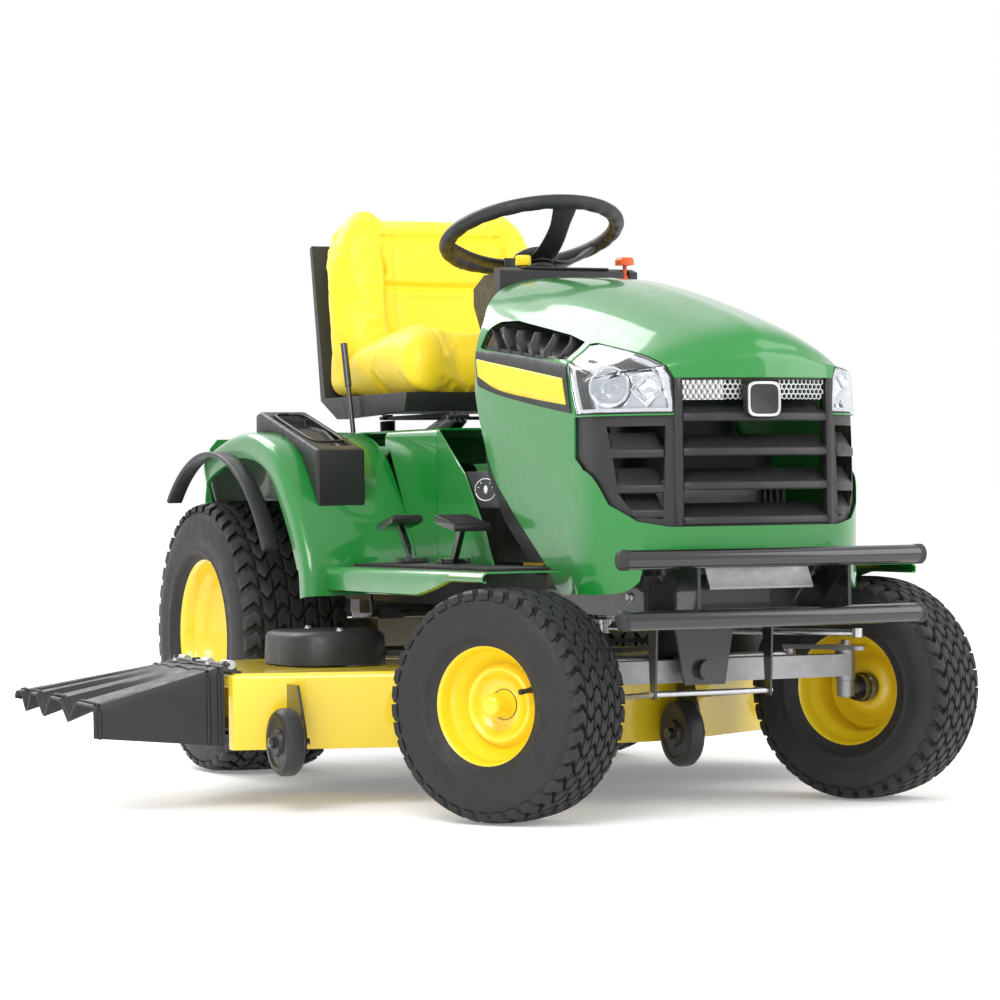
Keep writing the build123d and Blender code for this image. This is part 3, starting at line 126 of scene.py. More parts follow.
# ---- Finishes ------------------------------------------------------------------------------------
class Finish:
    """A material being wired: keeps its nodes and links short to write."""

    def __init__(self, name):
        self.material = bpy.data.materials.new(name)
        self.material.use_nodes = True
        self.tree = self.material.node_tree
        self.shader = self.tree.nodes["Principled BSDF"]
        self.place = self.tree.nodes.new("ShaderNodeTexCoord").outputs["Object"]

    def node(self, kind, **values):
        made = self.tree.nodes.new(kind)
        for key, value in values.items():
            if key in made.inputs:
                made.inputs[key].default_value = value
            else:
                setattr(made, key, value)
        return made

    def noise(self, scale, detail=4.0, stretch=(1, 1, 1)):
        mapping = self.node("ShaderNodeMapping")
        mapping.inputs["Scale"].default_value = stretch
        self.tree.links.new(self.place, mapping.inputs["Vector"])
        noise = self.node("ShaderNodeTexNoise", Scale=scale, Detail=detail)
        self.tree.links.new(mapping.outputs["Vector"], noise.inputs["Vector"])
        return noise.outputs["Fac"]

    def cells(self, scale, feature="F1"):
        made = self.node("ShaderNodeTexVoronoi", Scale=scale)
        made.feature = feature
        self.tree.links.new(self.place, made.inputs["Vector"])
        return made.outputs["Distance"]

    def ramp(self, value, low, high, start=0.3, end=0.7):
        made = self.node("ShaderNodeMapRange")
        made.inputs["From Min"].default_value = start
        made.inputs["From Max"].default_value = end
        made.inputs["To Min"].default_value = low
        made.inputs["To Max"].default_value = high
        self.tree.links.new(value, made.inputs["Value"])
        return made.outputs["Result"]

    def colour(self, base, value, spread):
        """Base colour that wanders a little lighter and darker."""
        mix = self.node("ShaderNodeMix", data_type="RGBA")
        mix.inputs[6].default_value = (*[c * (1 - spread) for c in base], 1)
        mix.inputs[7].default_value = (*[min(1, c * (1 + spread)) for c in base], 1)
        self.tree.links.new(value, mix.inputs[0])
        self.tree.links.new(mix.outputs[2], self.shader.inputs["Base Color"])

    def rough(self, value, low, high):
        self.tree.links.new(self.ramp(value, low, high), self.shader.inputs["Roughness"])

    def bump(self, value, height, strength=1.0):
        made = self.node("ShaderNodeBump", Strength=strength, Distance=height)
        self.tree.links.new(value, made.inputs["Height"])
        self.tree.links.new(made.outputs["Normal"], self.shader.inputs["Normal"])

    def constant(self, **values):
        for key, value in values.items():
            self.shader.inputs[key.replace("_", " ")].default_value = value
        return self.material


def enamel(name, base, roughness=0.32):
    """Sprayed enamel: faint orange peel under a clear gloss."""
    f = Finish(name)
    f.colour(base, f.noise(3.0, 3.0), 0.05)
    f.rough(f.noise(40.0, 4.0), roughness - 0.05, roughness + 0.06)
    f.bump(f.noise(420.0, 2.0), 0.00012, 0.25)
    return f.constant(Coat_Weight=0.8, Coat_Roughness=0.06)


def moulding(name, base, roughness=0.42, grain=1400.0):
    """Moulded plastic with a fine spark-eroded grain."""
    f = Finish(name)
    f.colour(base, f.noise(12.0, 4.0), 0.18)
    f.rough(f.noise(60.0, 5.0), roughness - 0.06, roughness + 0.1)
    f.bump(f.cells(grain), 0.00012, 0.35)
    return f.constant(Specular_IOR_Level=0.45)


def tyre_rubber():
    """Vulcanised rubber, slightly dusty."""
    f = Finish("tyre_rubber")
    f.colour((0.017, 0.017, 0.018), f.noise(18.0, 6.0), 0.3)
    f.rough(f.noise(55.0, 5.0), 0.5, 0.68)
    f.bump(f.noise(700.0, 4.0), 0.0003, 0.4)
    return f.constant(Specular_IOR_Level=0.4)


def soft_grip():
    """Soft black grip rubber."""
    f = Finish("soft_grip")
    f.colour((0.02, 0.02, 0.022), f.noise(25.0), 0.2)
    f.rough(f.noise(70.0), 0.42, 0.56)
    f.bump(f.cells(1100.0), 0.0002, 0.4)
    return f.constant(Specular_IOR_Level=0.4)


def seat_vinyl(base):
    """Embossed vinyl with a pebbled grain and a soft sheen."""
    f = Finish("seat_vinyl")
    f.colour(base, f.noise(5.0, 5.0), 0.06)
    f.rough(f.noise(35.0, 5.0), 0.4, 0.52)
    f.bump(f.cells(420.0, "SMOOTH_F1"), 0.0006, 0.35)
    return f.constant(Sheen_Weight=0.12, Sheen_Roughness=0.4, Specular_IOR_Level=0.45)


def metal(name, base, roughness, streak=(1, 1, 1), depth=0.00012):
    """Bare or plated metal with fine working marks."""
    f = Finish(name)
    f.colour(base, f.noise(22.0, 6.0), 0.14)
    f.rough(f.noise(90.0, 6.0, streak), roughness - 0.07, roughness + 0.1)
    f.bump(f.noise(320.0, 5.0, streak), depth, 0.4)
    return f.constant(Metallic=1.0)


def clear_lens():
    """Clear polycarbonate."""
    f = Finish("clear_lens")
    f.rough(f.noise(30.0), 0.02, 0.05)
    f.bump(f.noise(35.0, 1.0), 0.0003, 0.06)
    return f.constant(Transmission_Weight=1.0, IOR=1.45, Base_Color=(0.96, 0.98, 1.0, 1))


def make_finishes(paint):
    """Every finish by the name of the record's material slot."""
    green, yellow, black = tuple(paint.green), tuple(paint.yellow), tuple(paint.black)
    return {
        "green_paint": enamel("green_paint", green),
        "yellow_paint": enamel("yellow_paint", yellow, 0.36),
        "black_paint": enamel("black_paint", (0.006, 0.006, 0.007), 0.24),
        "frame_black": enamel("frame_black", (0.012, 0.012, 0.013), 0.45),
        "black_plastic": moulding("black_plastic", black),
        "grey_plastic": moulding("grey_plastic", (0.05, 0.05, 0.052), 0.5),
        "yellow_plastic": moulding("yellow_plastic", yellow, 0.25, 300.0),
        "orange_plastic": moulding("orange_plastic", (0.72, 0.09, 0.012), 0.3, 300.0),
        "white_print": moulding("white_print", (0.7, 0.7, 0.7), 0.5, 300.0),
        "zinc": metal("zinc", (0.62, 0.62, 0.64), 0.3, (1, 1, 12)),
        "cast_grey": metal("cast_grey", (0.36, 0.36, 0.37), 0.5, depth=0.0006),
        "spring_steel": metal("spring_steel", (0.10, 0.10, 0.11), 0.4),
        "reflector": metal("reflector", (0.85, 0.86, 0.88), 0.12),
        "rubber": tyre_rubber(),
        "grip_rubber": soft_grip(),
        "belt_rubber": moulding("belt_rubber", (0.025, 0.025, 0.028), 0.6, 900.0),
        "seat_vinyl": seat_vinyl(tuple(paint.vinyl)),
        "lens": clear_lens(),
    }


FINISHES = {}


# ---- Mesh helpers --------------------------------------------------------------------------------
def piece(name, points, faces, finish, body, replaces=(), slot=None, smooth=True):
    """A finished piece: its mesh, its material, the body it rides on and the nodes it stands for."""
    data = bpy.data.meshes.new(name)
    data.from_pydata([tuple(p) for p in points], [], faces)
    data.validate()
    data.update()
    made = bpy.data.objects.new(name, data)
    return dress(made, finish, body, replaces, smooth)


def dress(made, finish, body, replaces=(), smooth=True):
    if made.name not in bpy.context.scene.collection.objects:
        bpy.context.scene.collection.objects.link(made)
    made.data.materials.clear()
    made.data.materials.append(FINISHES[finish])
    if smooth:
        made.data.polygons.foreach_set("use_smooth", [True] * len(made.data.polygons))
    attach(made, body)
    if replaces:
        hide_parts(*replaces)
    return made


def settle(made):
    """Apply every modifier."""
    bpy.context.view_layer.update()
    graph = bpy.context.evaluated_depsgraph_get()
    data = bpy.data.meshes.new_from_object(made.evaluated_get(graph))
    made.modifiers.clear()
    made.data = data
    return made


def thicken(made, wall, offset=-1.0):
    skin = made.modifiers.new("wall", "SOLIDIFY")
    skin.thickness, skin.offset = wall, offset
    return settle(made)


def round_edges(made, width, segments=2, angle=35.0):
    """Round the hard edges and keep flat faces flat."""
    bevel = made.modifiers.new("round", "BEVEL")
    bevel.width, bevel.segments, bevel.angle_limit = width, segments, radians(angle)
    bevel.harden_normals = True
    return settle(made)


def sharpen(made, angle=32.0):
    """Smooth shading that still breaks at hard edges."""
    bm = bmesh.new()
    bm.from_mesh(made.data)
    bmesh.ops.recalc_face_normals(bm, faces=bm.faces)
    for edge in bm.edges:
        if len(edge.link_faces) == 2:
            edge.smooth = edge.calc_face_angle(0) < radians(angle)
    bm.to_mesh(made.data)
    bm.free()
    return made


def softened(node, finish, width, segments=2, name=None):
    """A CAD node's own shape with its hard edges rounded."""
    source = frame["nodes"][node]
    bm = bmesh.new()
    bm.from_mesh(source.data)
    bmesh.ops.remove_doubles(bm, verts=bm.verts, dist=1e-5)
    bmesh.ops.dissolve_limit(bm, angle_limit=radians(1.0), verts=bm.verts, edges=bm.edges)
    data = bpy.data.meshes.new(name or node + "_finished")
    bm.to_mesh(data)
    bm.free()
    made = bpy.data.objects.new(name or node + "_finished", data)
    dress(made, finish, source["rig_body"], [node])
    round_edges(made, width, segments)
    return sharpen(made)


def curve_through(points, steps):
    """Points on a smooth line through the given ones."""
    pts = [Vector(p) for p in points]
    pts = [2 * pts[0] - pts[1]] + pts + [2 * pts[-1] - pts[-2]]
    out = []
    for a, b, c, d in zip(pts, pts[1:], pts[2:], pts[3:]):
        for i in range(steps):
            t = i / steps
            out.append(0.5 * ((2 * b) + (c - a) * t + (2 * a - 5 * b + 4 * c - d) * t * t
                              + (3 * b - a - 3 * c + d) * t ** 3))
    out.append(pts[-2])
    return out


def grid(rows, closed=False):
    """Points and faces of a net of equal rows; closed joins each row's ends."""
    wide = len(rows[0])
    faces = []
    for r in range(len(rows) - 1):
        for c in range(wide if closed else wide - 1):
            d = (c + 1) % wide
            faces.append((r * wide + c, r * wide + d, (r + 1) * wide + d, (r + 1) * wide + c))
    return [p for row in rows for p in row], faces


def net(curves, along, across):
    """A smooth net through a family of curves with the same number of points."""
    runs = [curve_through(c, along) for c in curves]
    return [curve_through(column, across) for column in zip(*runs)]


def revolve(profile, centre, axle, count=96):
    """Rows of points from (along, radius) pairs turned about an axle; closed rows."""
    axle = axle.normalized()
    side = axle.cross(Vector((0, 0, 1)) if abs(axle.z) < 0.9 else Vector((1, 0, 0))).normalized()
    up = side.cross(axle)
    return [[centre + axle * (a * MM) + (up * cos(2 * pi * i / count) + side * sin(2 * pi * i / count)) * (r * MM)
             for i in range(count)] for a, r in profile]


def tube_rows(path, radius, sides=12, squash=1.0):
    """Rows round a path."""
    rows = []
    for i, p in enumerate(path):
        ahead = (path[min(i + 1, len(path) - 1)] - path[max(i - 1, 0)]).normalized()
        side = ahead.cross(Vector((0, 0, 1)) if abs(ahead.z) < 0.9 else Vector((0, 1, 0))).normalized()
        up = side.cross(ahead)
        r = radius(i) if callable(radius) else radius
        rows.append([p + side * (r * cos(2 * pi * k / sides)) + up * (r * squash * sin(2 * pi * k / sides))
                     for k in range(sides)])
    return rows


def capped(rows):
    """Points and faces of a closed-row net with both ends filled."""
    points, faces = grid(rows, closed=True)
    wide = len(rows[0])
    faces.append(tuple(reversed(range(wide))))
    faces.append(tuple(range((len(rows) - 1) * wide, len(rows) * wide)))
    return points, faces


def gather(parts):
    """Join (points, faces) pairs into one."""
    points, faces = [], []
    for p, f in parts:
        base = len(points)
        points += list(p)
        faces += [tuple(i + base for i in face) for face in f]
    return points, faces


def prism(outline, low, high, plane="front"):
    """A closed prism of an outline: front is (x, z) along y, side is (y, z) along x, top is (x, y) along z."""
    put = {"front": lambda a, b, c: at(a, c, b), "side": lambda a, b, c: at(c, a, b),
           "top": lambda a, b, c: at(a, b, c)}[plane]
    count = len(outline)
    points = [put(a, b, low) for a, b in outline] + [put(a, b, high) for a, b in outline]
    faces = [tuple(range(count)), tuple(reversed(range(count, 2 * count)))]
    faces += [((i + 1) % count, i, i + count, (i + 1) % count + count) for i in range(count)]
    return points, faces


def carve(made, parts, keep=False):
    """Cut prisms out of a piece, or keep only what lies inside them."""
    points, faces = gather(parts)
    data = bpy.data.meshes.new("cutter")
    data.from_pydata([tuple(p) for p in points], [], faces)
    cutter = bpy.data.objects.new("cutter", data)
    bm = bmesh.new()
    bm.from_mesh(data)
    bmesh.ops.recalc_face_normals(bm, faces=bm.faces)
    bm.to_mesh(data)
    bm.free()
    bpy.context.scene.collection.objects.link(cutter)
    knife = made.modifiers.new("cut", "BOOLEAN")
    knife.object, knife.solver = cutter, "EXACT"
    knife.operation = "INTERSECT" if keep else "DIFFERENCE"
    knife.use_self = len(parts) > 1
    settle(made)
    bpy.data.objects.remove(cutter)
    return made


def mirrored(outline):
    return [(-a, b) for a, b in reversed(outline)]


def bolt(place, axis, radius=6.5, head=5.0):
    """A flanged hexagon head."""
    axis = axis.normalized()
    side = axis.cross(Vector((0, 0, 1)) if abs(axis.z) < 0.9 else Vector((1, 0, 0))).normalized()
    up = axis.cross(side)
    rows = []
    for h, r, sides in ((0, radius * 1.35, 12), (0.28 * head, radius * 1.3, 12), (0.3 * head, radius, 6),
                        (0.9 * head, radius, 6), (head, radius * 0.86, 6)):
        ring = []
        for k in range(12):
            angle = pi * k / 6
            reach = r if sides == 12 else r * cos(pi / 6) / cos((angle + pi / 6) % (pi / 3) - pi / 6)
            ring.append(place + axis * (h * MM) + (side * cos(angle) + up * sin(angle)) * (reach * MM))
        rows.append(ring)
    return capped(rows)


def disc(place, axis, profile, count=32):
    """A turned solid from (along, radius) pairs."""
    return capped(revolve(profile, place, axis, count))


# ---- Hood ----------------------------------------------------------------------------------------
# Curves from the nose's lower edge, up the front and back along the top, at growing distances from the
# centre plane; the last two run down the side to its lower and rear edges.
HOOD_CURVES = (
    (0, ((-272, 466), (-273, 560), (-272, 660), (-271, 764), (-262, 806), (-222, 850), (-60, 897), (110, 934),
         (263, 958), (400, 969), (478, 971))),
    (75, ((-266, 466), (-267, 560), (-266, 660), (-265, 765), (-256, 800), (-214, 838), (-58, 884), (110, 924),
          (260, 952), (395, 966), (470, 969))),
    (135, ((-249, 464), (-251, 560), (-250, 660), (-249, 767), (-240, 788), (-196, 818), (-54, 860), (108, 900),
           (252, 930), (375, 951), (448, 957))),
    (180, ((-228, 442), (-230, 556), (-229, 660), (-226, 765), (-214, 778), (-168, 800), (-50, 832), (104, 872),
           (240, 905), (345, 928), (415, 938))),
    (218, ((-196, 400), (-199, 552), (-197, 660), (-192, 762), (-176, 770), (-132, 786), (-44, 808), (98, 847),
           (224, 881), (315, 902), (372, 912))),
    (246, ((-158, 391), (-163, 548), (-161, 658), (-152, 752), (-136, 764), (-98, 778), (-36, 794), (92, 830),
           (205, 860), (285, 878), (330, 882))),
    (260, ((-118, 390), (-128, 540), (-124, 648), (-112, 732), (-92, 750), (-62, 766), (-18, 782), (98, 812),
           (205, 838), (285, 854), (322, 852))),
    (264, ((-84, 390), (-70, 480), (-50, 560), (-20, 620), (8, 650), (60, 682), (110, 706), (190, 734),
           (262, 762), (315, 786), (334, 806))),
    (259, ((-60, 389), (-38, 388), (-16, 388), (12, 402), (50, 438), (120, 486), (200, 542), (270, 600),
           (322, 690), (344, 752), (340, 790))),
)
GRILLE_FOOT, GRILLE_HEAD = 505, 757
POST = 148
LAMP = ((152, 699), (266, 699), (266, 790), (243, 801), (207, 820), (196, 822), (168, 781), (156, 758))


def hood_net(inset=0.0):
    """The hood's outer form, moved in by an inset in millimetres."""
    curves = []
    for x, line in HOOD_CURVES:
        share = 1 - inset / 264
        moved = [(y + inset * (1 if i < 5 else 0.25), z - inset * (0 if i < 4 else 1)) for i, (y, z) in enumerate(line)]
        curves.append([at(x * share, y, z) for y, z in moved])
    half = net(curves, 9, 6)
    rows = [list(reversed([Vector((2 * DATUM.x - p.x, p.y, p.z)) for p in row[1:]])) + row for row in half]
    return grid(rows)


def nose_line(x):
    """How far forward the hood's face is at a distance from the centre plane."""
    reach = [(c[0], c[1][2][0]) for c in HOOD_CURVES]
    for (a, ya), (b, yb) in zip(reach, reach[1:]):
        if abs(x) <= b:
            return ya + (yb - ya) * (abs(x) - a) / (b - a)
    return reach[-1][1]


def lamp_block(side, grow=0.0):
    """The space of one headlamp, as a solid with a slanted rear face."""
    middle_x, middle_z = 208, 752
    outline = []
    for x, z in LAMP:
        away = Vector((x - middle_x, z - middle_z))
        away = away + away.normalized() * grow
        outline.append((side * (middle_x + away.x), middle_z + away.y))
    count = len(outline)
    points = [at(x, -320, z) for x, z in outline]
    points += [at(x, -86 + (z - 700) * 0.5 + grow, z) for x, z in outline]
    faces = [tuple(range(count)), tuple(reversed(range(count, 2 * count)))]
    faces += [((i + 1) % count, i, i + count, (i + 1) % count + count) for i in range(count)]
    return points, faces


def grille_outline(grow=0.0):
    """Front view of the grille opening."""
    side = [(POST, GRILLE_HEAD + grow), (POST + 6, 694 + grow), (268, 694 + grow), (262 + grow, 603),
            (243 + grow, 543), (208, 514 - grow), (164, GRILLE_FOOT - grow)]
    return side + mirrored(side)


def vent_outline(grow=0.0):
    """Side view of the opening behind a headlamp."""
    return [(310 + grow, 831), (288 + grow, 858 + grow), (262, 876 + grow), (221, 876 + grow), (52, 843 + grow),
            (-5, 828 + grow), (-24, 796), (60, 800 - grow), (141, 810 - grow), (290, 826 - grow)]


def skin_tree():
    """The hood's outer form, for laying trim on it."""
    return BVHTree.FromPolygons(*hood_net())


def on_skin(tree, side, y, z, proud):
    """A point on the hood's side at a given place in side view, stood off by a little."""
    start = at(side * 400, y, z)
    hit = tree.ray_cast(start, Vector((-side, 0, 0)))[0] or at(side * 262, y, z)
    return Vector((hit.x + side * proud * MM, start.y, start.z))


def build_hood(s):
    shell = piece("hood_skin", *hood_net(), "green_paint", "hood", ["hood_shell"])
    thicken(shell, s.wall)
    cuts = [prism(grille_outline(), -320, -80), lamp_block(1, 3), lamp_block(-1, 3)]
    cuts += [prism(vent_outline(), *sorted((side * 150, side * 290)), "side") for side in (-1, 1)]
    cuts += [prism([(-212, 380), (212, 380), (196, 466), (-196, 466)], -320, -205)]
    carve(shell, cuts)
    sharpen(shell, 38)
    surround = piece("grille_surround", *hood_net(5), "black_plastic", "hood", ["grille"])
    thicken(surround, 0.004)
    keep = [prism(grille_outline(9), -320, -60), lamp_block(1, 11), lamp_block(-1, 11)]
    keep += [prism(vent_outline(8), *sorted((side * 150, side * 290)), "side") for side in (-1, 1)]
    carve(surround, keep, keep=True)
    holes = [prism([(-POST + 10, GRILLE_FOOT + 3), (POST - 10, GRILLE_FOOT + 3), (POST - 10, GRILLE_HEAD - 4),
                    (-POST + 10, GRILLE_HEAD - 4)], -320, -150), lamp_block(1, -3), lamp_block(-1, -3)]
    for side in (-1, 1):
        scoop = [(side * 170, 518), (side * 208, 524), (side * 228, 560), (side * 240, 676), (side * 164, 676)]
        holes.append(prism(scoop if side > 0 else list(reversed(scoop)), -320, -60))
        slot = [(300, 834), (282, 856), (260, 871), (222, 871), (54, 838), (6, 826), (-6, 802), (60, 806), (141, 815)]
        holes.append(prism(slot, *sorted((side * 150, side * 290)), "side"))
    carve(surround, holes)
    sharpen(surround, 38)
    build_slats()
    build_mesh_strip(s)
    build_vents(s)
    build_stripes()


def blade_rows(x_from, x_to, z, depth, height, proud, steps=14):
    """A louvre that follows the nose: rows of a closed section."""
    rows = []
    for i in range(steps + 1):
        x = x_from + (x_to - x_from) * i / steps
        face = nose_line(x) + proud
        section = [(face + depth, z + height), (face + 5, z + 16), (face + 1, z + 14), (face, z + 12), (face, z + 3),
                   (face + 2, z), (face + depth, z + 4)]
        rows.append([at(x, y, h) for y, h in section])
    return rows


def build_slats():
    parts = []
    for z in (507, 566, 624, 683):
        parts.append(capped(blade_rows(-POST + 9, POST - 9, z, 44, 38, 1)))
    for side in (-1, 1):
        for z, wide in ((520, 214), (562, 232), (622, 238)):
            parts.append(capped(blade_rows(side * 168, side * wide, z, 34, 44, 4, 8)))
        post = [[at(side * (POST - 9 + 14 * a), nose_line(side * POST) - 2 + 22 * b, z)
                 for a, b in ((0, 0), (0.4, -0.1), (1, 0.1), (1, 1), (0, 1))] for z in (506, 560, 640, 700, 757)]
        parts.append(capped(post))
    made = piece("grille_slats", *gather(parts), "black_plastic", "hood")
    round_edges(made, 0.0012, 2)
    sharpen(made)


def build_mesh_strip(s):
    """Honeycomb strip above the top slat: each cell is a short open hexagonal tube."""
    parts = []
    low, high, pitch = GRILLE_HEAD - 36, GRILLE_HEAD - 3, s.cell / MM
    across, up = pitch, pitch * sqrt(3) / 2
    for row in range(int((high - low) / up)):
        z = low + up * (row + 0.5)
        count = int(2 * (POST - 12) / across)
        for col in range(count):
            x = -POST + 12 + across * (col + 0.5 + 0.5 * (row % 2))
            if abs(x) < 36 or abs(x) > POST - 13:
                continue
            y = nose_line(x) + 8
            rings = []
            for depth, r in ((5, 0.577), (0, 0.577), (0, 0.43), (5, 0.43)):
                rings.append([at(x + r * pitch * sin(pi * k / 3), y + depth, z + r * pitch * cos(pi * k / 3))
                              for k in range(6)])
            parts.append(grid(rings, closed=True))
    piece("grille_mesh", *gather(parts), "zinc", "hood", slot="black_plastic", smooth=False)
    y = nose_line(0)
    rows = []
    for depth, w, h in ((10, 38, 36), (0, 38, 36), (-4, 36, 34), (-5, 33, 31), (-3.5, 31, 29), (-3.5, 0.1, 0.1)):
        ring = []
        for k in range(48):
            a = 2 * pi * k / 48
            ca, sa = cos(a), sin(a)
            r = (abs(ca) ** 5 + abs(sa) ** 5) ** (-1 / 5)
            ring.append(at(0.88 * w * r * ca, y - 3 + depth, 720 + 0.88 * h * r * sa))
        rows.append(ring)
    badge = piece("nose_badge", *grid(rows, closed=True), "black_plastic", "hood")
    badge.data.materials.append(FINISHES["zinc"])
    for i, face in enumerate(badge.data.polygons):
        face.material_index = 1 if i // 48 == 2 or i // 48 == 3 else 0


def build_vents(s):
    """Slanted fins in the opening behind each headlamp, over a dark tray."""
    tree, parts = skin_tree(), []
    for side in (-1, 1):
        for i in range(s.fins):
            y = 6 + i * 46
            rows = []
            for t in range(9):
                u = t / 8
                lean, z = y + 46 * u ** 1.5, 800 + 3.5 * i + (42 + 1.6 * i) * u
                face = on_skin(tree, side, lean, z, -5)
                rows.append([face + Vector((side * a * MM, b * MM, 0)) for a, b in
                             ((0, 0), (2, 1), (2, 4), (-16, 8), (-16, 4))])
            parts.append(capped(rows))
    made = piece("vent_fins", *gather(parts), "black_plastic", "hood")
    round_edges(made, 0.0007, 1)
    sharpen(made)
    tray = piece("vent_trays", *hood_net(24), "black_plastic", "hood")
    thicken(tray, 0.002)
    carve(tray, [prism(vent_outline(4), *sorted((side * 120, side * 262)), "side") for side in (-1, 1)], keep=True)


def build_stripes():
    """A black moulding with a yellow band let into it, on each side of the hood."""
    tree = skin_tree()
    edges = (("stripe_frame", "black_plastic", 0.5, ((325, 826), (141, 808), (-44, 785)),
              ((317, 762), (224, 743), (55, 718), (-70, 702))),
             ("stripe_band", "yellow_plastic", 1.6, ((319, 810), (141, 787), (-36, 763)),
              ((311, 778), (224, 751), (80, 731), (-54, 716))))
    for name, finish, proud, top, low in edges:
        parts = []
        for side in (-1, 1):
            rows = []
            upper, lower = spread(top, 40), spread(low, 40)
            for (ya, za), (yb, zb) in zip(upper, lower):
                rows.append([on_skin(tree, side, yb + (ya - yb) * t, zb + (za - zb) * t,
                                     proud - (2 if t in (0, 1) else 0)) for t in (0, 0.05, 0.25, 0.5, 0.75, 0.95, 1)])
            parts.append(grid(rows if side < 0 else [list(reversed(r)) for r in rows]))
        made = piece(name, *gather(parts), finish, "hood", ["side_stripes"] if finish == "black_plastic" else ())
        thicken(made, 0.0025)
        sharpen(made, 40)


def spread(pairs, count):
    """Evenly spaced points on a smooth line through (a, b) pairs."""
    fine = curve_through([(a, b, 0) for a, b in pairs], 20)
    total = [0.0]
    for p, q in zip(fine, fine[1:]):
        total.append(total[-1] + (q - p).length)
    marks = np.linspace(0, total[-1], count)
    return list(zip(np.interp(marks, total, [p.x for p in fine]), np.interp(marks, total, [p.y for p in fine])))


def build_lamps():
    """Headlamps: a clear outer lens, a bright rim, a grey housing with a bowl and a bulb."""
    for name, inset, wall, finish, grow, nodes in (("lamp_lenses", 0.5, 0.003, "lens", -0.5, ["headlight_lenses"]),
                                                   ("lamp_trays", 24, 0.002, "zinc", 2, ["headlight_reflectors"]),
                                                   ("lamp_rims", 5, 0.005, "reflector", -1.5, ())):
        made = piece(name, *hood_net(inset), finish, "hood", nodes)
        thicken(made, wall)
        carve(made, [lamp_block(1, grow), lamp_block(-1, grow)], keep=True)
        if not nodes:
            carve(made, [lamp_block(1, -11), lamp_block(-1, -11)])
        sharpen(made, 40)
    bowls, bulbs = [], []
    for side in (-1, 1):
        centre = at(side * 226, -146, 744)
        out = Vector((side * 0.72, -0.69, 0.02)).normalized()
        bowls.append(grid(revolve([(-22, 5), (-20, 12), (-13, 22), (-3, 29), (4, 32), (6, 33), (6, 35), (0, 35)],
                                  centre, out, 48), closed=True))
        bulbs.append(disc(centre, out, [(-20, 0.2), (-20, 8), (-10, 8), (-7, 6), (2, 5.5), (6, 3.5), (7, 0.2)], 24))
        centre = at(side * 184, -200, 738)
        out = Vector((side * 0.45, -1, 0)).normalized()
        bowls.append(grid(revolve([(-12, 4), (-9, 14), (-2, 24), (1, 26), (1, 28), (-3, 28)], centre, out, 4),
                          closed=True))
    bowl = piece("lamp_reflectors", *gather(bowls), "reflector", "hood")
    thicken(bowl, 0.001)
    sharpen(bowl, 40)
    piece("lamp_bulbs", *gather(bulbs), "lens", "hood")


# ---- Wheels --------------------------------------------------------------------------------------
WHEELS = {"fr": (-1, "wheel_fr"), "fl": (1, "wheel_fl"), "rr": (-1, "wheel_rr"), "rl": (1, "wheel_rl")}


def wheel_frame(suffix):
    """Centre, outward axle, tyre radius and half width of a wheel."""
    low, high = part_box("tyre_" + suffix)
    centre = (low + high) / 2
    side = WHEELS[suffix][0]
    if suffix[0] == "f":
        joint = next(j for j in frame["joints"] if j["child"] == WHEELS[suffix][1])
        axle = Vector(joint["axis"]) * (1 if joint["axis"][0] * side > 0 else -1)
        return centre, axle, (high.z - low.z) / 2 / MM, 82.0
    return centre, Vector((side, 0, 0)), (high.z - low.z) / 2 / MM, (high.x - low.x) / 2 / MM


def tyre_profile(half, radius, bead, depth):
    belly = bead + (radius - bead) * 0.48
    outer = [(half * 0.79, bead + 1), (half * 0.84, bead + 9), (half * 0.9, bead + 16), (half * 0.93, bead + 18),
             (half * 0.965, bead + 24), (half * 0.955, bead + 27), (half * 0.985, belly - 4), (half * 0.99, belly + 4),
             (half * 0.955, radius - 34), (half * 0.91, radius - 24), (half * 0.84, radius - 15),
             (half * 0.7, radius - 7.5), (half * 0.35, radius - 2.5 - depth * 0.3), (0, radius - 2 - depth * 0.3)]
    outer = [(a, r - (depth * 0.7 if r > radius - 10 else 0)) for a, r in outer]
    ridged = [p for pair in zip(outer, outer[1:]) for p in (pair[0], ((pair[0][0] + pair[1][0]) / 2,
                                                                    (pair[0][1] + pair[1][1]) / 2))] + [outer[-1]]
    inner = [(half * 0.6, radius - 26), (half * 0.84, belly), (half * 0.66, bead + 2)]
    right = ridged + []
    left = [(-a, r) for a, r in reversed(ridged[:-1])]
    return right + left + [(-a, r) for a, r in reversed(inner)] + inner


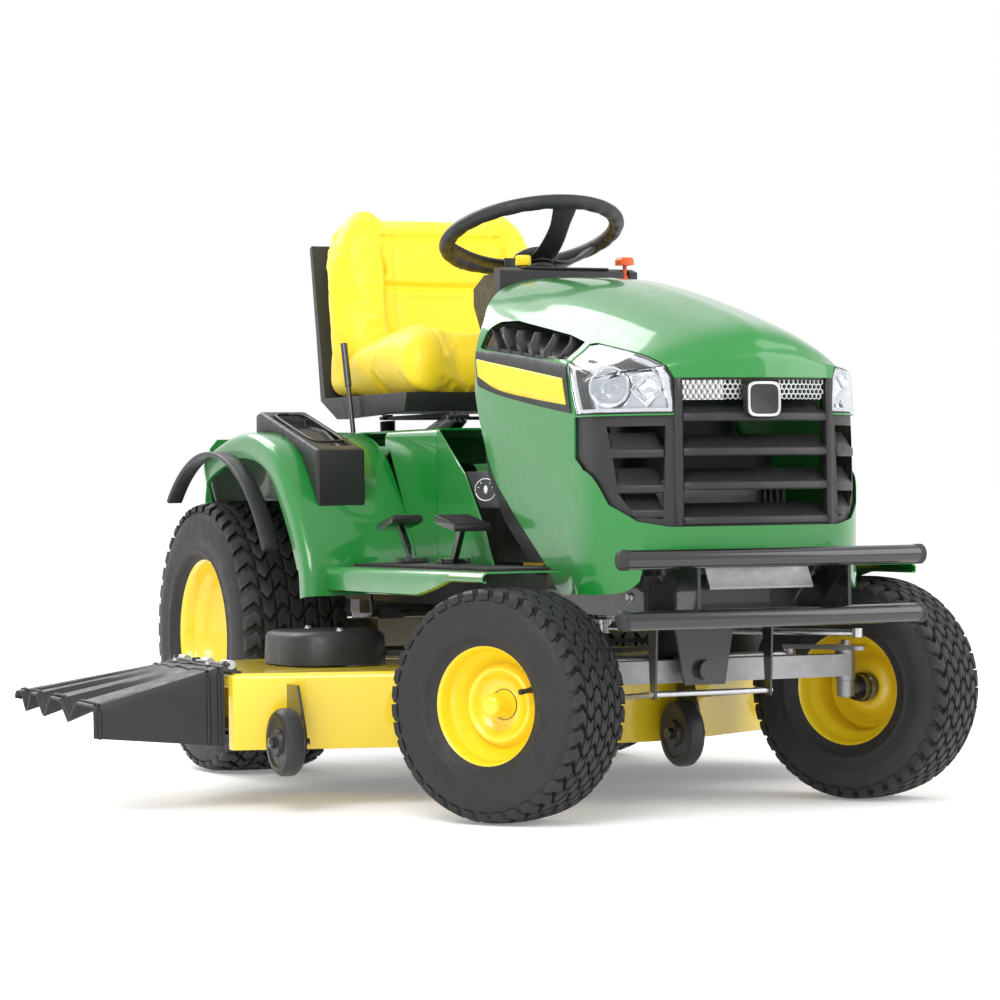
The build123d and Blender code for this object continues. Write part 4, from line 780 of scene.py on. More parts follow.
def build_tyre(suffix, s):
    centre, axle, radius, half = wheel_frame(suffix)
    front = suffix[0] == "f"
    bead = 101.6 if front else 152.4
    depth = s.lug / MM
    rows = revolve(tyre_profile(half, radius, bead, depth), centre, axle, 120)
    rows.append(rows[0])
    parts = [grid(rows, closed=True)]
    up, side = Vector((0, 0, 1)), axle.cross(Vector((0, 0, 1)))
    pitches = s.front_pitches if front else s.rear_pitches
    columns = 7

    def crown(a):
        """Tread radius across the tyre."""
        t = abs(a) / half
        return radius - 2.2 * (t / 0.6) ** 2 - (34 * (t - 0.72) ** 1.35 if t > 0.72 else 0)

    def spot(a, angle, r):
        return centre + axle * (a * MM) + (up * cos(angle) + side * sin(angle)) * (r * MM)

    step = 2 * pi / pitches
    for column in range(columns):
        a0 = -half * 0.86 + column * (half * 1.72 / columns)
        a1 = a0 + half * 1.72 / columns
        edge = column in (0, columns - 1)
        gap = (a1 - a0) * 0.07
        for i in range(pitches):
            base = step * (i + 0.5 * (column % 2))
            wave = step * 0.17 * (1 if column % 2 else -1)
            span = step * (0.39 if not edge else 0.33)
            outline = []
            for a, kink in ((a0 + gap, 0), ((a0 + a1) / 2, 1), (a1 - gap, 0)):
                outline.append((a, base - span + wave * (1 - 2 * kink)))
            for a, kink in ((a1 - gap, 0), ((a0 + a1) / 2, 1), (a0 + gap, 0)):
                outline.append((a, base + span + wave * (1 - 2 * kink)))
            if edge:
                push = (half * 0.075) * (-1 if column == 0 else 1)
                outline = [(a + (push if (abs(a) > half * 0.8) else 0), t) for a, t in outline]
            mid_a = sum(a for a, _ in outline) / 6
            mid_t = sum(t for _, t in outline) / 6
            rings = []
            for drop, shrink in ((depth + 5, 1.0), (1.0, 0.93), (0.0, 0.86)):
                rings.append([spot(mid_a + (a - mid_a) * shrink, mid_t + (t - mid_t) * shrink, crown(a) - drop)
                              for a, t in outline])
            block, faces = grid(rings, closed=True)
            faces.append((12, 13, 16, 17))
            faces.append((13, 14, 15, 16))
            parts.append((block, faces))
    made = piece("tyre_tread_" + suffix, *gather(parts), "rubber", WHEELS[suffix][1], ["tyre_" + suffix])
    sharpen(made, 40)


def build_rim(suffix):
    """Pressed and painted rim with a dished disc, a drop centre, a valve and its fixing."""
    centre, axle, _, _ = wheel_frame(suffix)
    front = suffix[0] == "f"
    bead, half = (101.6, 68) if front else (152.4, 100)
    lip = bead + 13.5
    barrel = [(half - 3.5, lip - 1), (half - 1, lip), (half + 0.5, lip - 1.5), (half, lip - 4), (half - 4, bead + 1),
              (half - 10, bead - 4), (half - 26, bead - 6), (half - 32, bead - 9), (half - 42, bead - 19),
              (half - 50, bead - 22)]
    if front:
        disc_line = [(half - 56, bead - 28), (34 - half * 0.1, 62), (14, 48), (8, 38), (8, 28), (15, 23), (26, 21),
                     (38, 20.5), (49, 18.5), (54, 14), (56, 6), (56, 0.3)]
    else:
        disc_line = [(half - 58, bead - 26), (half - 74, 112), (18, 92), (12, 76), (12, 60), (17, 52), (22, 46),
                     (22, 30), (24, 26), (38, 25), (42, 22), (43, 12), (43, 0.3)]
    back = [(-a, r) for a, r in reversed(barrel)]
    face = curve_line(disc_line)
    rows = revolve(barrel + face, centre, axle, 96)
    barrel_back = revolve([(half - 50, bead - 22)] + [(0, bead - 21)] + back, centre, axle, 96)
    points, faces = gather([grid(rows, closed=True), grid(barrel_back, closed=True)])
    made = piece("rim_pressing_" + suffix, points, faces, "yellow_paint", WHEELS[suffix][1], ["rim_" + suffix])
    thicken(made, 0.003)
    sharpen(made, 50)
    side = axle.cross(Vector((0, 0, 1)))
    parts = []
    stem = centre + axle * ((half - 40) * MM) + (Vector((0, 0, 1)) * 0.35 - side * 0.94) * ((bead - 17) * MM)
    lean = (axle * 0.9 + (centre - stem).normalized() * 0.35).normalized()
    parts.append(disc(stem, lean, [(-2, 0.2), (-2, 7.5), (6, 6), (16, 4.6), (24, 4.2), (25, 5), (33, 5), (34, 0.2)], 20))
    dark = piece("valve_" + suffix, *gather(parts), "rubber", WHEELS[suffix][1])
    sharpen(dark)
    hub = []
    if not front:
        for k in range(5):
            a = 2 * pi * k / 5 + 0.3
            place = centre + axle * (13 * MM) + (Vector((0, 0, 1)) * cos(a) + side * sin(a)) * (68 * MM)
            hub.append(bolt(place, axle, 9, 9))
    hub.append(disc(centre, -axle, [(-10 if front else 2, 0.3), (-10 if front else 2, 27), (12, 27), (14, 24), (30, 24), (32, 22), (32, 0.3)]
                    if front else [(-6, 0.3), (-6, 34), (26, 34), (30, 30), (120, 30), (124, 12), (124, 0.3)], 40))
    made = piece("hub_" + suffix, *gather(hub), "black_paint" if front else "zinc", WHEELS[suffix][1],
                 slot="black_plastic" if front else "zinc")
    sharpen(made)


def curve_line(pairs, steps=5):
    return [(p.x, p.y) for p in curve_through([(a, b, 0) for a, b in pairs], steps)]


def build_gauge_wheels():
    """Deck wheels: a rounded solid tread on a hub with a bolt through it."""
    for i in (1, 2, 3):
        node = f"gauge_wheel_{i}"
        centre = middle(node)
        low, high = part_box(node)
        half, radius = (high.x - low.x) / 2 / MM, (high.z - low.z) / 2 / MM
        line = [(-half, 0.3), (-half, 22), (-half * 0.7, 25), (-half * 0.7, 40), (-half * 0.85, 45), (-half * 0.8, 54),
                (-half * 0.5, 60), (-half * 0.2, radius), (half * 0.2, radius), (half * 0.5, 60), (half * 0.8, 54),
                (half * 0.85, 45), (half * 0.7, 40), (half * 0.7, 25), (half, 22), (half, 0.3)]
        parts = [disc(centre, Vector((1, 0, 0)), line, 64)]
        parts += [bolt(centre + Vector((side * half * MM, 0, 0)), Vector((side, 0, 0)), 8, 7) for side in (-1, 1)]
        sharpen(piece(node + "_turned", *gather(parts), "black_plastic", f"gauge_{i}", [node]))


# ---- Fenders and foot rests ------------------------------------------------------------------------
ARCH = ((655, 374), (664, 435), (700, 500), (745, 560), (820, 640), (900, 676), (1000, 688), (1120, 674),
        (1250, 636), (1400, 558), (1478, 484))
TUNNEL = 244
PLATFORM_Z = 690


def lipped(path, inner, outer, roll, drop, side, sag=0.0):
    """A sheet along a (y, z) path that rolls over at its outer edge into a flange."""
    pts = curve_through([(0, y, z) for y, z in path], 6)
    rows = []
    for i, p in enumerate(pts):
        share = i / (len(pts) - 1)
        ahead = (pts[min(i + 1, len(pts) - 1)] - pts[max(i - 1, 0)]).normalized()
        normal = Vector((0, -ahead.z, ahead.y))
        depth = drop(share) if callable(drop) else drop
        width = outer(p.y) if callable(outer) else outer
        section = [(inner, 0), ((inner + width) / 2, sag), (width - roll * 1.5, sag * 0.3), (width - roll, 0)]
        section += [(width - roll + roll * sin(a), -roll * (1 - cos(a))) for a in (0.4, 0.8, 1.2, pi / 2)]
        section += [(width, -depth * 0.6), (width - 0.8, -depth), (width - 3, -depth - 1.5), (width - 7, -depth - 1)]
        rows.append([at(side * x, p.y + normal.y * h, p.z + normal.z * h) for x, h in section])
    return grid(rows if side < 0 else [list(reversed(r)) for r in rows])


def arch_width(y):
    """Half width of the fender: it draws in behind the rear axle."""
    return 470 - 74 * min(1, max(0, (y - 1240) / 160)) - 14 * min(1, max(0, (y - 1400) / 80))


def build_fender():
    parts = []
    for side in (-1, 1):
        parts.append(lipped(ARCH, TUNNEL - 2, arch_width, 14, lambda s: 46 if s > 0.1 else 40, side, 2.0))
        foot = [(-58, 428), (60, 428), (200, 428), (420, 428), (560, 428), (640, 428), (662, 431)]
        parts.append(lipped(foot, TUNNEL + 2, 430, 12, lambda s: 12 + 28 * min(1, max(0, (s - 0.2) / 0.16)), side))
    sheet = piece("fender_sheets", *gather(parts), "green_paint", "root", ["fender_deck"])
    thicken(sheet, 0.003)
    carve(sheet, [prism([(-278, -80), (278, -80), (278, 78), (-278, 78)], 380, 450, "top")])
    sharpen(sheet, 45)
    parts = []
    rows = []
    for y in [560 + 46 * i for i in range(20)] + [1466, 1478]:
        roll = 15
        low = max(430, 689 - 0.0 - (60 if y > 800 else 260 - max(0, y - 650) * 1.6))
        arc = [(TUNNEL - roll + roll * sin(a), PLATFORM_Z - roll + roll * cos(a)) for a in (0, 0.4, 0.8, 1.2, pi / 2)]
        half = [(150, PLATFORM_Z)] + arc + [(TUNNEL, low)]
        rows.append([at(-x, y, z) for x, z in reversed(half)] + [at(x, y, z) for x, z in half])
    parts.append(grid(rows))
    for side in (-1, 1):
        wall = [(304, 430), (560, 430), (560, 688), (548, 684), (430, 602), (345, 500)]
        low, high = sorted((side * TUNNEL, side * (TUNNEL - 4)))
        parts.append(prism(wall, low, high, "side"))
    rear = [(-380, 486), (380, 486), (384, 560), (372, 668), (356, 686), (-356, 686), (-372, 668), (-384, 560)]
    tunnel = piece("fender_tunnel", *grid(rows), "green_paint", "root")
    thicken(tunnel, 0.004)
    slot = [(-247, 812), (-229, 812), (-229, 1098), (-247, 1098)]
    carve(tunnel, [prism([(-153, 540), (153, 540), (153, 612), (-153, 612)], 600, 720, "top"),
                   prism(slot, 660, 700, "top")])
    sharpen(tunnel, 45)
    walls = piece("fender_walls", *gather(parts[1:] + [prism(rear, 1472, 1477)]), "green_paint", "root", smooth=False)
    round_edges(walls, 0.003, 2)
    sharpen(walls)
    feet = []
    for x, y in ((-300, 360), (-320, 502), (305, 300)):
        for end in (-30, 24):
            feet.append(prism([(y - 12, 428), (y + 12, 428), (y + 8, 447), (y - 8, 447)], x + end, x + end + 6, "side"))
        feet.append(capped(tube_rows([at(x - 32, y, 439), at(x + 32, y, 439)], 0.005, 16)))
    sharpen(round_edges(piece("pedal_feet", *gather(feet), "frame_black", "root"), 0.001))
    build_control_plate()


def build_control_plate():
    """Black plate on the right tunnel wall with plain markings and no lettering."""
    outline = [(410, 605), (276, 606), (243, 538), (349, 538)]
    plate = piece("control_plate", *prism([(y, z) for y, z in outline], -250, -247, "side"), "black_plastic", "root")
    round_edges(plate, 0.0015)
    sharpen(plate)
    parts = []
    ring = [at(-250.4, 322 + 46 * cos(a), 572 + 20 * sin(a)) for a in [2 * pi * k / 40 for k in range(40)]]
    parts.append(capped(tube_rows(ring + ring[:1], 0.0011, 6)))
    parts.append(disc(at(-250, 322, 572), Vector((-1, 0, 0)), [(0, 0.2), (0, 8), (0.8, 7.4), (0.8, 0.2)], 24))
    for k in (-2, -1, 1, 2):
        a = 1.3 * k / 2
        start = at(-250.3, 322 + 30 * sin(a), 572 + 14 * cos(a))
        parts.append(capped(tube_rows([start, start + (start - at(-250.3, 322, 572)) * 0.18], 0.001, 6)))
    piece("control_marks", *gather(parts), "white_print", "root", slot="black_plastic")


def build_consoles():
    softened("console_boxes", "black_plastic", 0.007, 3)
    parts = []
    for side in (-1, 1):
        rim = []
        for y, z, w in ((770, 665, 34), (1020, 729.5, 34)):
            rim.append((y, z, w))
        outline = [(side * 372 + 36 * cos(a), a) for a in [2 * pi * k / 40 for k in range(40)]]
        ring = []
        for k in range(40):
            a = 2 * pi * k / 40
            y = 895 + 112 * (abs(cos(a)) ** 0.35) * (1 if cos(a) > 0 else -1)
            x = side * (372 + 34 * (abs(sin(a)) ** 0.35) * (1 if sin(a) > 0 else -1))
            ring.append(at(x, y, 653 + (y - 726) * 80 / 309 + 1.5))
        parts.append(capped(tube_rows(ring + ring[:1], 0.003, 8)))
    made = piece("console_lips", *gather(parts), "black_plastic", "root")
    softened("fender_flares", "black_plastic", 0.004, 3)


# ---- Seat ----------------------------------------------------------------------------------------
CUSHION = ((746, 772, 0), (741, 800, 0.2), (750, 832, 0.5), (778, 856, 0.8), (850, 862, 1), (960, 854, 1),
           (1050, 846, 1), (1085, 836, 1), (1096, 800, 0.5), (1080, 772, 0), (920, 768, 0), (780, 767, 0))
REST = ((1094, 772, 0.4), (1083, 850, 1), (1094, 940, 1), (1108, 1030, 1), (1124, 1100, 1), (1142, 1138, 0.6),
        (1172, 1154, 0.2), (1206, 1150, 0), (1228, 1118, 0), (1212, 1000, 0), (1196, 880, 0), (1180, 772, 0))


def narrowing(z):
    """How much narrower the seat is than its base at a height."""
    return 1 - 0.035 * min(1, max(0, (z - 900) / 150)) - 0.15 * min(1, max(0, (z - 1040) / 116)) ** 1.6


def bolstered(outline, rise, half):
    """Rings of a pad from one side to the other: sides stand proud and pull in at the ends."""
    ring = curve_through(list(outline) + [outline[0]], 6)[:-1]
    mid = sum(ring, Vector()) / len(ring)
    rows = []
    for i in range(33):
        t = -1 + i / 16
        edge = max(0, (abs(t) - 0.78) / 0.22)
        bolster = rise * max(0, min(1, (abs(t) - 0.42) / 0.3)) ** 1.5 * (1 - 0.25 * edge)
        inset = 30 * (1 - (1 - edge ** 2) ** 0.5)
        row = []
        for k, p in enumerate(ring):
            ahead = (ring[(k + 1) % len(ring)] - ring[k - 1]).normalized()
            away = Vector((ahead.y, -ahead.x, 0))
            if away.dot(p - mid) < 0:
                away = -away
            spot = p + away * (bolster * p.z - inset)
            row.append(at(half * t * narrowing(p.y), spot.x, spot.y))
        rows.append(row)
    return capped(rows)


def padding(node, name, rings, s):
    """A pad: a bolstered form grained into a fine mesh and blown up a little as cloth."""
    made = piece(name, *rings, "seat_vinyl", frame["nodes"][node]["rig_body"], [node])
    bm = bmesh.new()
    bm.from_mesh(made.data)
    bmesh.ops.recalc_face_normals(bm, faces=bm.faces)
    bm.to_mesh(made.data)
    bm.free()
    remesh = made.modifiers.new("grain", "REMESH")
    remesh.mode, remesh.voxel_size = "VOXEL", s.voxel
    settle(made)
    soften = made.modifiers.new("soften", "SMOOTH")
    soften.factor, soften.iterations = 0.5, 10
    settle(made)
    start = [v.co.copy() for v in made.data.vertices]
    inflate(made)
    for v, rest in zip(made.data.vertices, start):
        move = v.co - rest
        if move.length > s.swell:
            v.co = rest + move * (s.swell / move.length)
    return made


def inflate(made):
    cloth = made.modifiers.new("cloth", "CLOTH")
    cloth.settings.use_pressure = True
    cloth.settings.uniform_pressure_force = 4.0
    cloth.settings.effector_weights.gravity = 0
    cloth.settings.quality = 4
    cloth.point_cache.frame_start, cloth.point_cache.frame_end = 1, 20
    scene = bpy.context.scene
    for number in range(1, 21):
        scene.frame_set(number)
    settle(made)
    scene.frame_set(1)


def press_seam(made, path, depth, reach, facing):
    """Draw a seam into padding: pull the skin in along a line."""
    line = np.array(path)
    co = np.empty(len(made.data.vertices) * 3)
    made.data.vertices.foreach_get("co", co)
    co = co.reshape(-1, 3)
    normals = np.array([v.normal[:] for v in made.data.vertices])
    near = np.full(len(co), 9.0)
    for a, b in zip(line, line[1:]):
        run = b - a
        t = np.clip(((co - a) @ run) / (run @ run), 0, 1)
        near = np.minimum(near, np.linalg.norm(co - a - t[:, None] * run, axis=1))
    pull = depth * np.exp(-(near / reach) ** 2) * (normals @ np.array(facing) > 0.25)
    pull -= depth * 0.18 * np.exp(-((near - reach * 2.6) / reach) ** 2) * (normals @ np.array(facing) > 0.25)
    co -= normals * pull[:, None]
    made.data.vertices.foreach_set("co", co.ravel())
    made.data.update()


def surface_path(made, points, direction):
    """Lay a line of points on the padding by casting them along a direction."""
    tree = BVHTree.FromPolygons([v.co for v in made.data.vertices], [p.vertices for p in made.data.polygons])
    out = []
    for p in points:
        hit = tree.ray_cast(p - direction * 0.4, direction)[0]
        if hit is not None:
            out.append(hit[:])
    return out


def build_seat(s):
    down, back = Vector((0, 0, -1)), Vector((0, 1, 0))
    cushion = padding("seat_cushion", "seat_cushion_padding", bolstered(CUSHION, 26, 226), s)
    rest = padding("seat_back", "seat_back_padding", bolstered(REST, 34, 226), s)
    for made in (cushion, rest):
        finer = made.modifiers.new("finer", "SUBSURF")
        finer.levels = finer.render_levels = 1
        settle(made)
        made.data.polygons.foreach_set("use_smooth", [True] * len(made.data.polygons))
    for (xa, ya), (xb, yb) in (((-138, 762), (-138, 1058)), ((138, 762), (138, 1058)), ((-138, 890), (138, 890))):
        line = [at(xa + (xb - xa) * i / 40, ya + (yb - ya) * i / 40, 850) for i in range(41)]
        press_seam(cushion, surface_path(cushion, line, down), s.seam, 0.006, -down)
    panel = [(-126, 1090), (-130, 1020), (-130, 930), (-118, 888), (-80, 876), (0, 873), (80, 876), (118, 888),
             (130, 930), (130, 1020), (126, 1090)]
    for spots in (panel, [(-128, 992), (0, 990), (128, 992)], [(-134, 1094), (0, 1096), (134, 1094)],
                  [(-130, 1020), (-140, 1080), (-150, 1150)], [(130, 1020), (140, 1080), (150, 1150)]):
        line = [at(p.x, 1100, p.z) for p in curve_through([(x, 0, z) for x, z in spots], 14)]
        press_seam(rest, surface_path(rest, line, back), s.seam, 0.006, -back)
    softened("seat_shell", "black_plastic", 0.006, 3)
    softened("seat_pivot", "frame_black", 0.0012)
    parts = []
    for side in (-1, 1):
        path = [at(side * 130 + 14 * cos(2 * pi * t / 12), 1072 + 14 * sin(2 * pi * t / 12), 692.5 + 22 * t / 60)
                for t in range(61)]
        parts.append(capped(tube_rows(path, 0.0022, 10)))
    piece("seat_coils", *gather(parts), "spring_steel", "root", ["seat_springs"])


# ---- Steering wheel and dash ---------------------------------------------------------------------
HUB = at(0, 644, 1066)
COLUMN = Vector((0, sin(radians(18.3)), cos(radians(18.3))))


def on_wheel(radius, angle, lift):
    """A place on the steering wheel: millimetres from the hub, degrees from the driver's left, and height."""
    ahead = COLUMN.cross(Vector((1, 0, 0)))
    a = radians(angle)
    return HUB + (Vector((1, 0, 0)) * cos(a) + ahead * sin(a)) * (radius * MM) + COLUMN * (lift * MM)


def build_steering_wheel():
    rows = []
    for k in range(144):
        angle = 2.5 * k
        bump = 1.3 * (0.5 + 0.5 * cos(radians(angle * 24))) ** 2
        ring = []
        for j in range(20):
            t = 2 * pi * j / 20
            r = 15 - (bump if sin(t) < -0.1 else 0)
            ring.append(on_wheel(167 + r * cos(t), angle, r * 0.92 * sin(t)))
        rows.append(ring)
    rows.append(rows[0])
    parts = [grid(rows, closed=True)]
    for middle_angle in (20, 160, 270):
        rows = []
        for i in range(13):
            u = i / 12
            radius = 24 + 136 * u
            lift = -56 + 54 * u ** 2.1
            half = 27 - 9 * u + 12 * max(0, u - 0.72) ** 1.2 * 3
            section = []
            for a, b in ((-1, -3.5), (-0.86, 1.5), (-0.5, 4.2), (0, 5), (0.5, 4.2), (0.86, 1.5), (1, -3.5), (0.8, -6),
                         (0, -5), (-0.8, -6)):
                swing = a * half / radius
                place = on_wheel(radius / cos(min(0.9, abs(swing))) if u < 0.9 else radius, middle_angle, lift + b)
                across = on_wheel(radius, middle_angle + 90, 0) - HUB
                section.append(on_wheel(radius, middle_angle, lift + b) + across.normalized() * (a * half * MM))
            rows.append(section)
        parts.append(capped(rows))
    made = piece("steering_wheel_moulding", *gather(parts), "grip_rubber", "steering", ["steering_wheel"])
    sharpen(made, 50)
    cap = disc(HUB, COLUMN, [(-66, 0.3), (-66, 20), (-64, 33), (-56, 36), (-50, 40), (-44, 42), (-40, 40), (-38, 34),
                             (-36, 20), (-36, 0.3)], 64)
    sharpen(piece("steering_wheel_hub", *cap, "black_plastic", "steering"), 50)
    sharpen(piece("hub_trim", *disc(HUB, COLUMN, [(-38, 24), (-35, 26), (-34.8, 28), (-37, 30.5)], 64),
                  "black_paint", "steering", slot="black_plastic"), 50)


def build_dash():
    softened("dash_tower", "black_plastic", 0.005, 2)
    softened("throttle_lever", "orange_plastic", 0.002)
    softened("blade_knob", "yellow_plastic", 0.002)
    softened("ignition_key", "black_plastic", 0.001)
    parts = []
    for x in (-60, 20):
        parts.append(disc(at(x, 560, 993.4), Vector((0, 0, 1)), [(-1, 0.3), (-1, 21), (2.5, 21), (3, 19), (1.6, 18),
                                                                (1.4, 0.3)], 40))
    parts.append(bolt(at(-175, 590, 993.3), Vector((0, 0, 1)), 4, 2.5))
    parts.append(bolt(at(176, 590, 993.3), Vector((0, 0, 1)), 4, 2.5))
    sharpen(piece("dash_fittings", *gather(parts), "black_paint", "root", slot="black_plastic"))
    boot = []
    for d, r in ((-66, 27), (-70, 33), (-76, 32), (-80, 40), (-86, 39), (-90, 48), (-96, 47)):
        boot.append((d, r))
    sharpen(piece("column_boot", *grid(revolve(boot, HUB, COLUMN, 64), closed=True), "grip_rubber", "root"), 60)


# ---- Pedals and mats -----------------------------------------------------------------------------
def build_pedals():
    pads = (("forward_pedal", "forward", -300, 316, 74, 92, 8), ("reverse_pedal", "reverse", -320, 564, 62, 78, -8),
            ("brake_pedal", "brake", 305, 256, 96, 84, 8))
    for node, body, x, y, wide, deep, rise in pads:
        softened(node, "frame_black", 0.002)
        parts = []
        rows = []
        for u in (0, 1):
            z = 505 - rise + 2 * rise * u + 10
            rows.append((y - deep / 2 + deep * u, z))
        (ya, za), (yb, zb) = rows
        tilt = (zb - za) / (yb - ya)
        for k in range(7):
            yy = ya + 6 + (yb - ya - 12) * k / 6
            zz = za + (yy - ya) * tilt
            path = [at(x - wide / 2 + 6, yy, zz + 3), at(x + wide / 2 - 6, yy, zz + 3)]
            parts.append(capped(tube_rows(path, 0.0028, 10)))
        pad = prism([(ya + 1, za - 1), (yb - 1, zb - 1), (yb - 1, zb + 3), (ya + 1, za + 3)], x - wide / 2 + 1,
                    x + wide / 2 - 1, "side")
        parts.append(pad)
        made = piece(node + "_pad", *gather(parts), "grip_rubber", body)
        sharpen(round_edges(made, 0.0012))
    softened("foot_mats", "grip_rubber", 0.0015)
    low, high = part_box("foot_mats")
    parts = []
    for side in (-1, 1):
        inner, outer = 286, 408
        y = (low.y - DATUM.y) / MM + 16
        while y < (high.y - DATUM.y) / MM - 12:
            a, b = at(side * inner, y, 0), at(side * outer, y, 0)
            a.z = b.z = high.z
            parts.append(capped(tube_rows([a, b], 0.0028, 8)))
            y += 14
    sharpen(piece("mat_ribs", *gather(parts), "grip_rubber", "root"), 50)


# ---- Deck ----------------------------------------------------------------------------------------
def build_deck():
    softened("deck_shell", "yellow_paint", 0.004, 2)
    softened("deck_brackets", "frame_black", 0.0012)
    softened("blade_1", "spring_steel", 0.001)
    softened("blade_2", "spring_steel", 0.001)
    softened("blade_3", "spring_steel", 0.001)
    parts = []
    for x in (-445, 445):
        rows = []
        for h, grow in ((249, 0), (300, -2), (308, -8), (311, -18), (312, -60)):
            ring = []
            for k in range(40):
                a = 2 * pi * k / 40
                squash = (abs(cos(a)) ** 3 + abs(sin(a)) ** 3) ** (-1 / 3)
                ring.append(at(x + (108 + grow) * squash * cos(a) * 0.93, 640 + (128 + grow) * squash * sin(a), h))
            rows.append(ring)
        parts.append(capped(rows))
    covers = piece("belt_covers", *gather(parts), "black_plastic", "deck")
    sharpen(covers, 45)
    bolts = []
    for x, y in ((-445, 560), (-445, 724), (445, 560), (445, 724)):
        bolts.append(bolt(at(x, y, 311.5), Vector((0, 0, 1)), 6, 5))
    sharpen(piece("cover_bolts", *gather(bolts), "zinc", "deck"))


def chute_rim(u):
    """Front and rear corners of the chute's section at a share of its reach: (x, y, top, foot)."""
    front = (-722 + (-962 + 722) * u, 432 + 18 * u, 264 - 66 * u, 116 + 22 * u)
    rear = (-722 + (-1030 + 722) * u, 714 - 6 * u, 262 - 44 * u, 150 + 50 * u)
    return front, rear


def build_chute():
    """Moulded chute: ridged top whose grooves deepen towards the tip, and a skirt down each end."""
    rows = []
    lips = []
    for i in range(25):
        u = i / 24
        (fx, fy, fz, foot), (rx, ry, rz, back_foot) = chute_rim(u)
        row = [at(fx, fy - 1, foot), at(fx, fy - 1, (fz + foot) / 2), at(fx, fy + 1, fz - 14), at(fx, fy + 6, fz - 4)]
        for j in range(3, 58):
            v = j / 60
            dip = sum(max(0, 1 - abs(v - g) / w) for g, w in ((0.33, 0.1), (0.64, 0.09), (0.86, 0.06)))
            z = fz + (rz - fz) * v - (3 + 34 * u ** 1.3) * min(1, dip) * min(1, u * 5) - 2
            row.append(at(fx + (rx - fx) * v, fy + (ry - fy) * v, z))
        row += [at(rx, ry - 6, rz - 4), at(rx, ry - 1, rz - 14), at(rx, ry + 1, (rz + back_foot) / 2),
                at(rx, ry + 1, back_foot)]
        rows.append(row)
        lips.append((i, row))
    made = piece("chute_moulding", *grid(rows), "black_plastic", "chute", ["chute"])
    thicken(made, 0.0045)
    sharpen(made, 28)
    ribs = []
    for i, grow in ((1, 2.5), (3, 2.0), (23, 2.0)):
        row = rows[i]
        middle_point = sum(row, Vector()) / len(row)
        path = [p + (p - middle_point).normalized() * (grow * MM) for p in row]
        ribs.append(capped(tube_rows(path, 0.0032, 8)))
    sharpen(piece("chute_ribs", *gather(ribs), "black_plastic", "chute"), 50)
    parts = []
    for y in (450, 560, 690):
        parts.append(capped(tube_rows([at(-708, y - 18, 262), at(-708, y + 18, 262)], 0.0085, 20)))
    for y in (480, 660):
        parts.append(bolt(at(-735, y, 262), Vector((0, 0, 1)), 5, 4))
    sharpen(piece("chute_hinge", *gather(parts), "zinc", "chute"))


# ---- Chassis -------------------------------------------------------------------------------------
def build_bumper():
    parts = []
    low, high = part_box("bumper")
    for z in (452, 351):
        path = []
        for i in range(41):
            u = -1 + i / 20
            path.append(at(289 * u, -304 - 16 * (1 - u * u), z))
        parts.append(capped(tube_rows(path, 0.0165, 24)))
    made = piece("bumper_tubes", *gather(parts), "black_paint", "root")
    sharpen(made, 50)
    caps = []
    for side in (-1, 1):
        for z in (452, 351):
            caps.append(disc(at(side * 289, -304, z), Vector((side, 0, 0)), [(-12, 15), (-12, 17.4), (1, 17.4), (4, 15),
                                                                            (5, 8), (5, 0.3)], 32))
    sharpen(piece("bumper_caps", *gather(caps), "grip_rubber", "root", slot="grip_rubber"), 50)


def build_fittings():
    """Bolts at the joints that show."""
    up, out = Vector((0, 0, 1)), Vector((1, 0, 0))
    parts = []
    for side in (-1, 1):
        parts.append(bolt(at(side * 315, 0, 284), up, 9, 8))
        for y in (-120, 380, 900, 1380):
            parts.append(bolt(at(side * 180, y, 384), out * side, 7, 6))
    made = piece("frame_bolts", *gather(parts), "zinc", "root")
    sharpen(made)


PLAIN = {
    "frame_rails": "frame_black", "frame_crossmembers": "frame_black", "bumper": "black_paint",
    "front_axle": "cast_grey", "spindle_r": "cast_grey", "spindle_l": "cast_grey", "tie_rod": "zinc",
    "sector_gear": "zinc", "steering_pinion": "spring_steel", "drag_link": "zinc", "steering_column": "zinc",
    "transaxle": "cast_grey", "engine_block": "cast_grey", "blower_housing": "black_plastic", "muffler": "cast_grey",
    "spindle_housings": "cast_grey", "deck_belt": "belt_rubber", "front_lift_link": "zinc",
    "lift_lever": "frame_black", "battery": "black_plastic", "fuel_tank": "black_plastic",
}


def dress_plain():
    """Give the pieces that keep their CAD shape their finishes."""
    for node, finish in PLAIN.items():
        made = frame["nodes"][node]
        made.data.materials.clear()
        made.data.materials.append(FINISHES[finish])


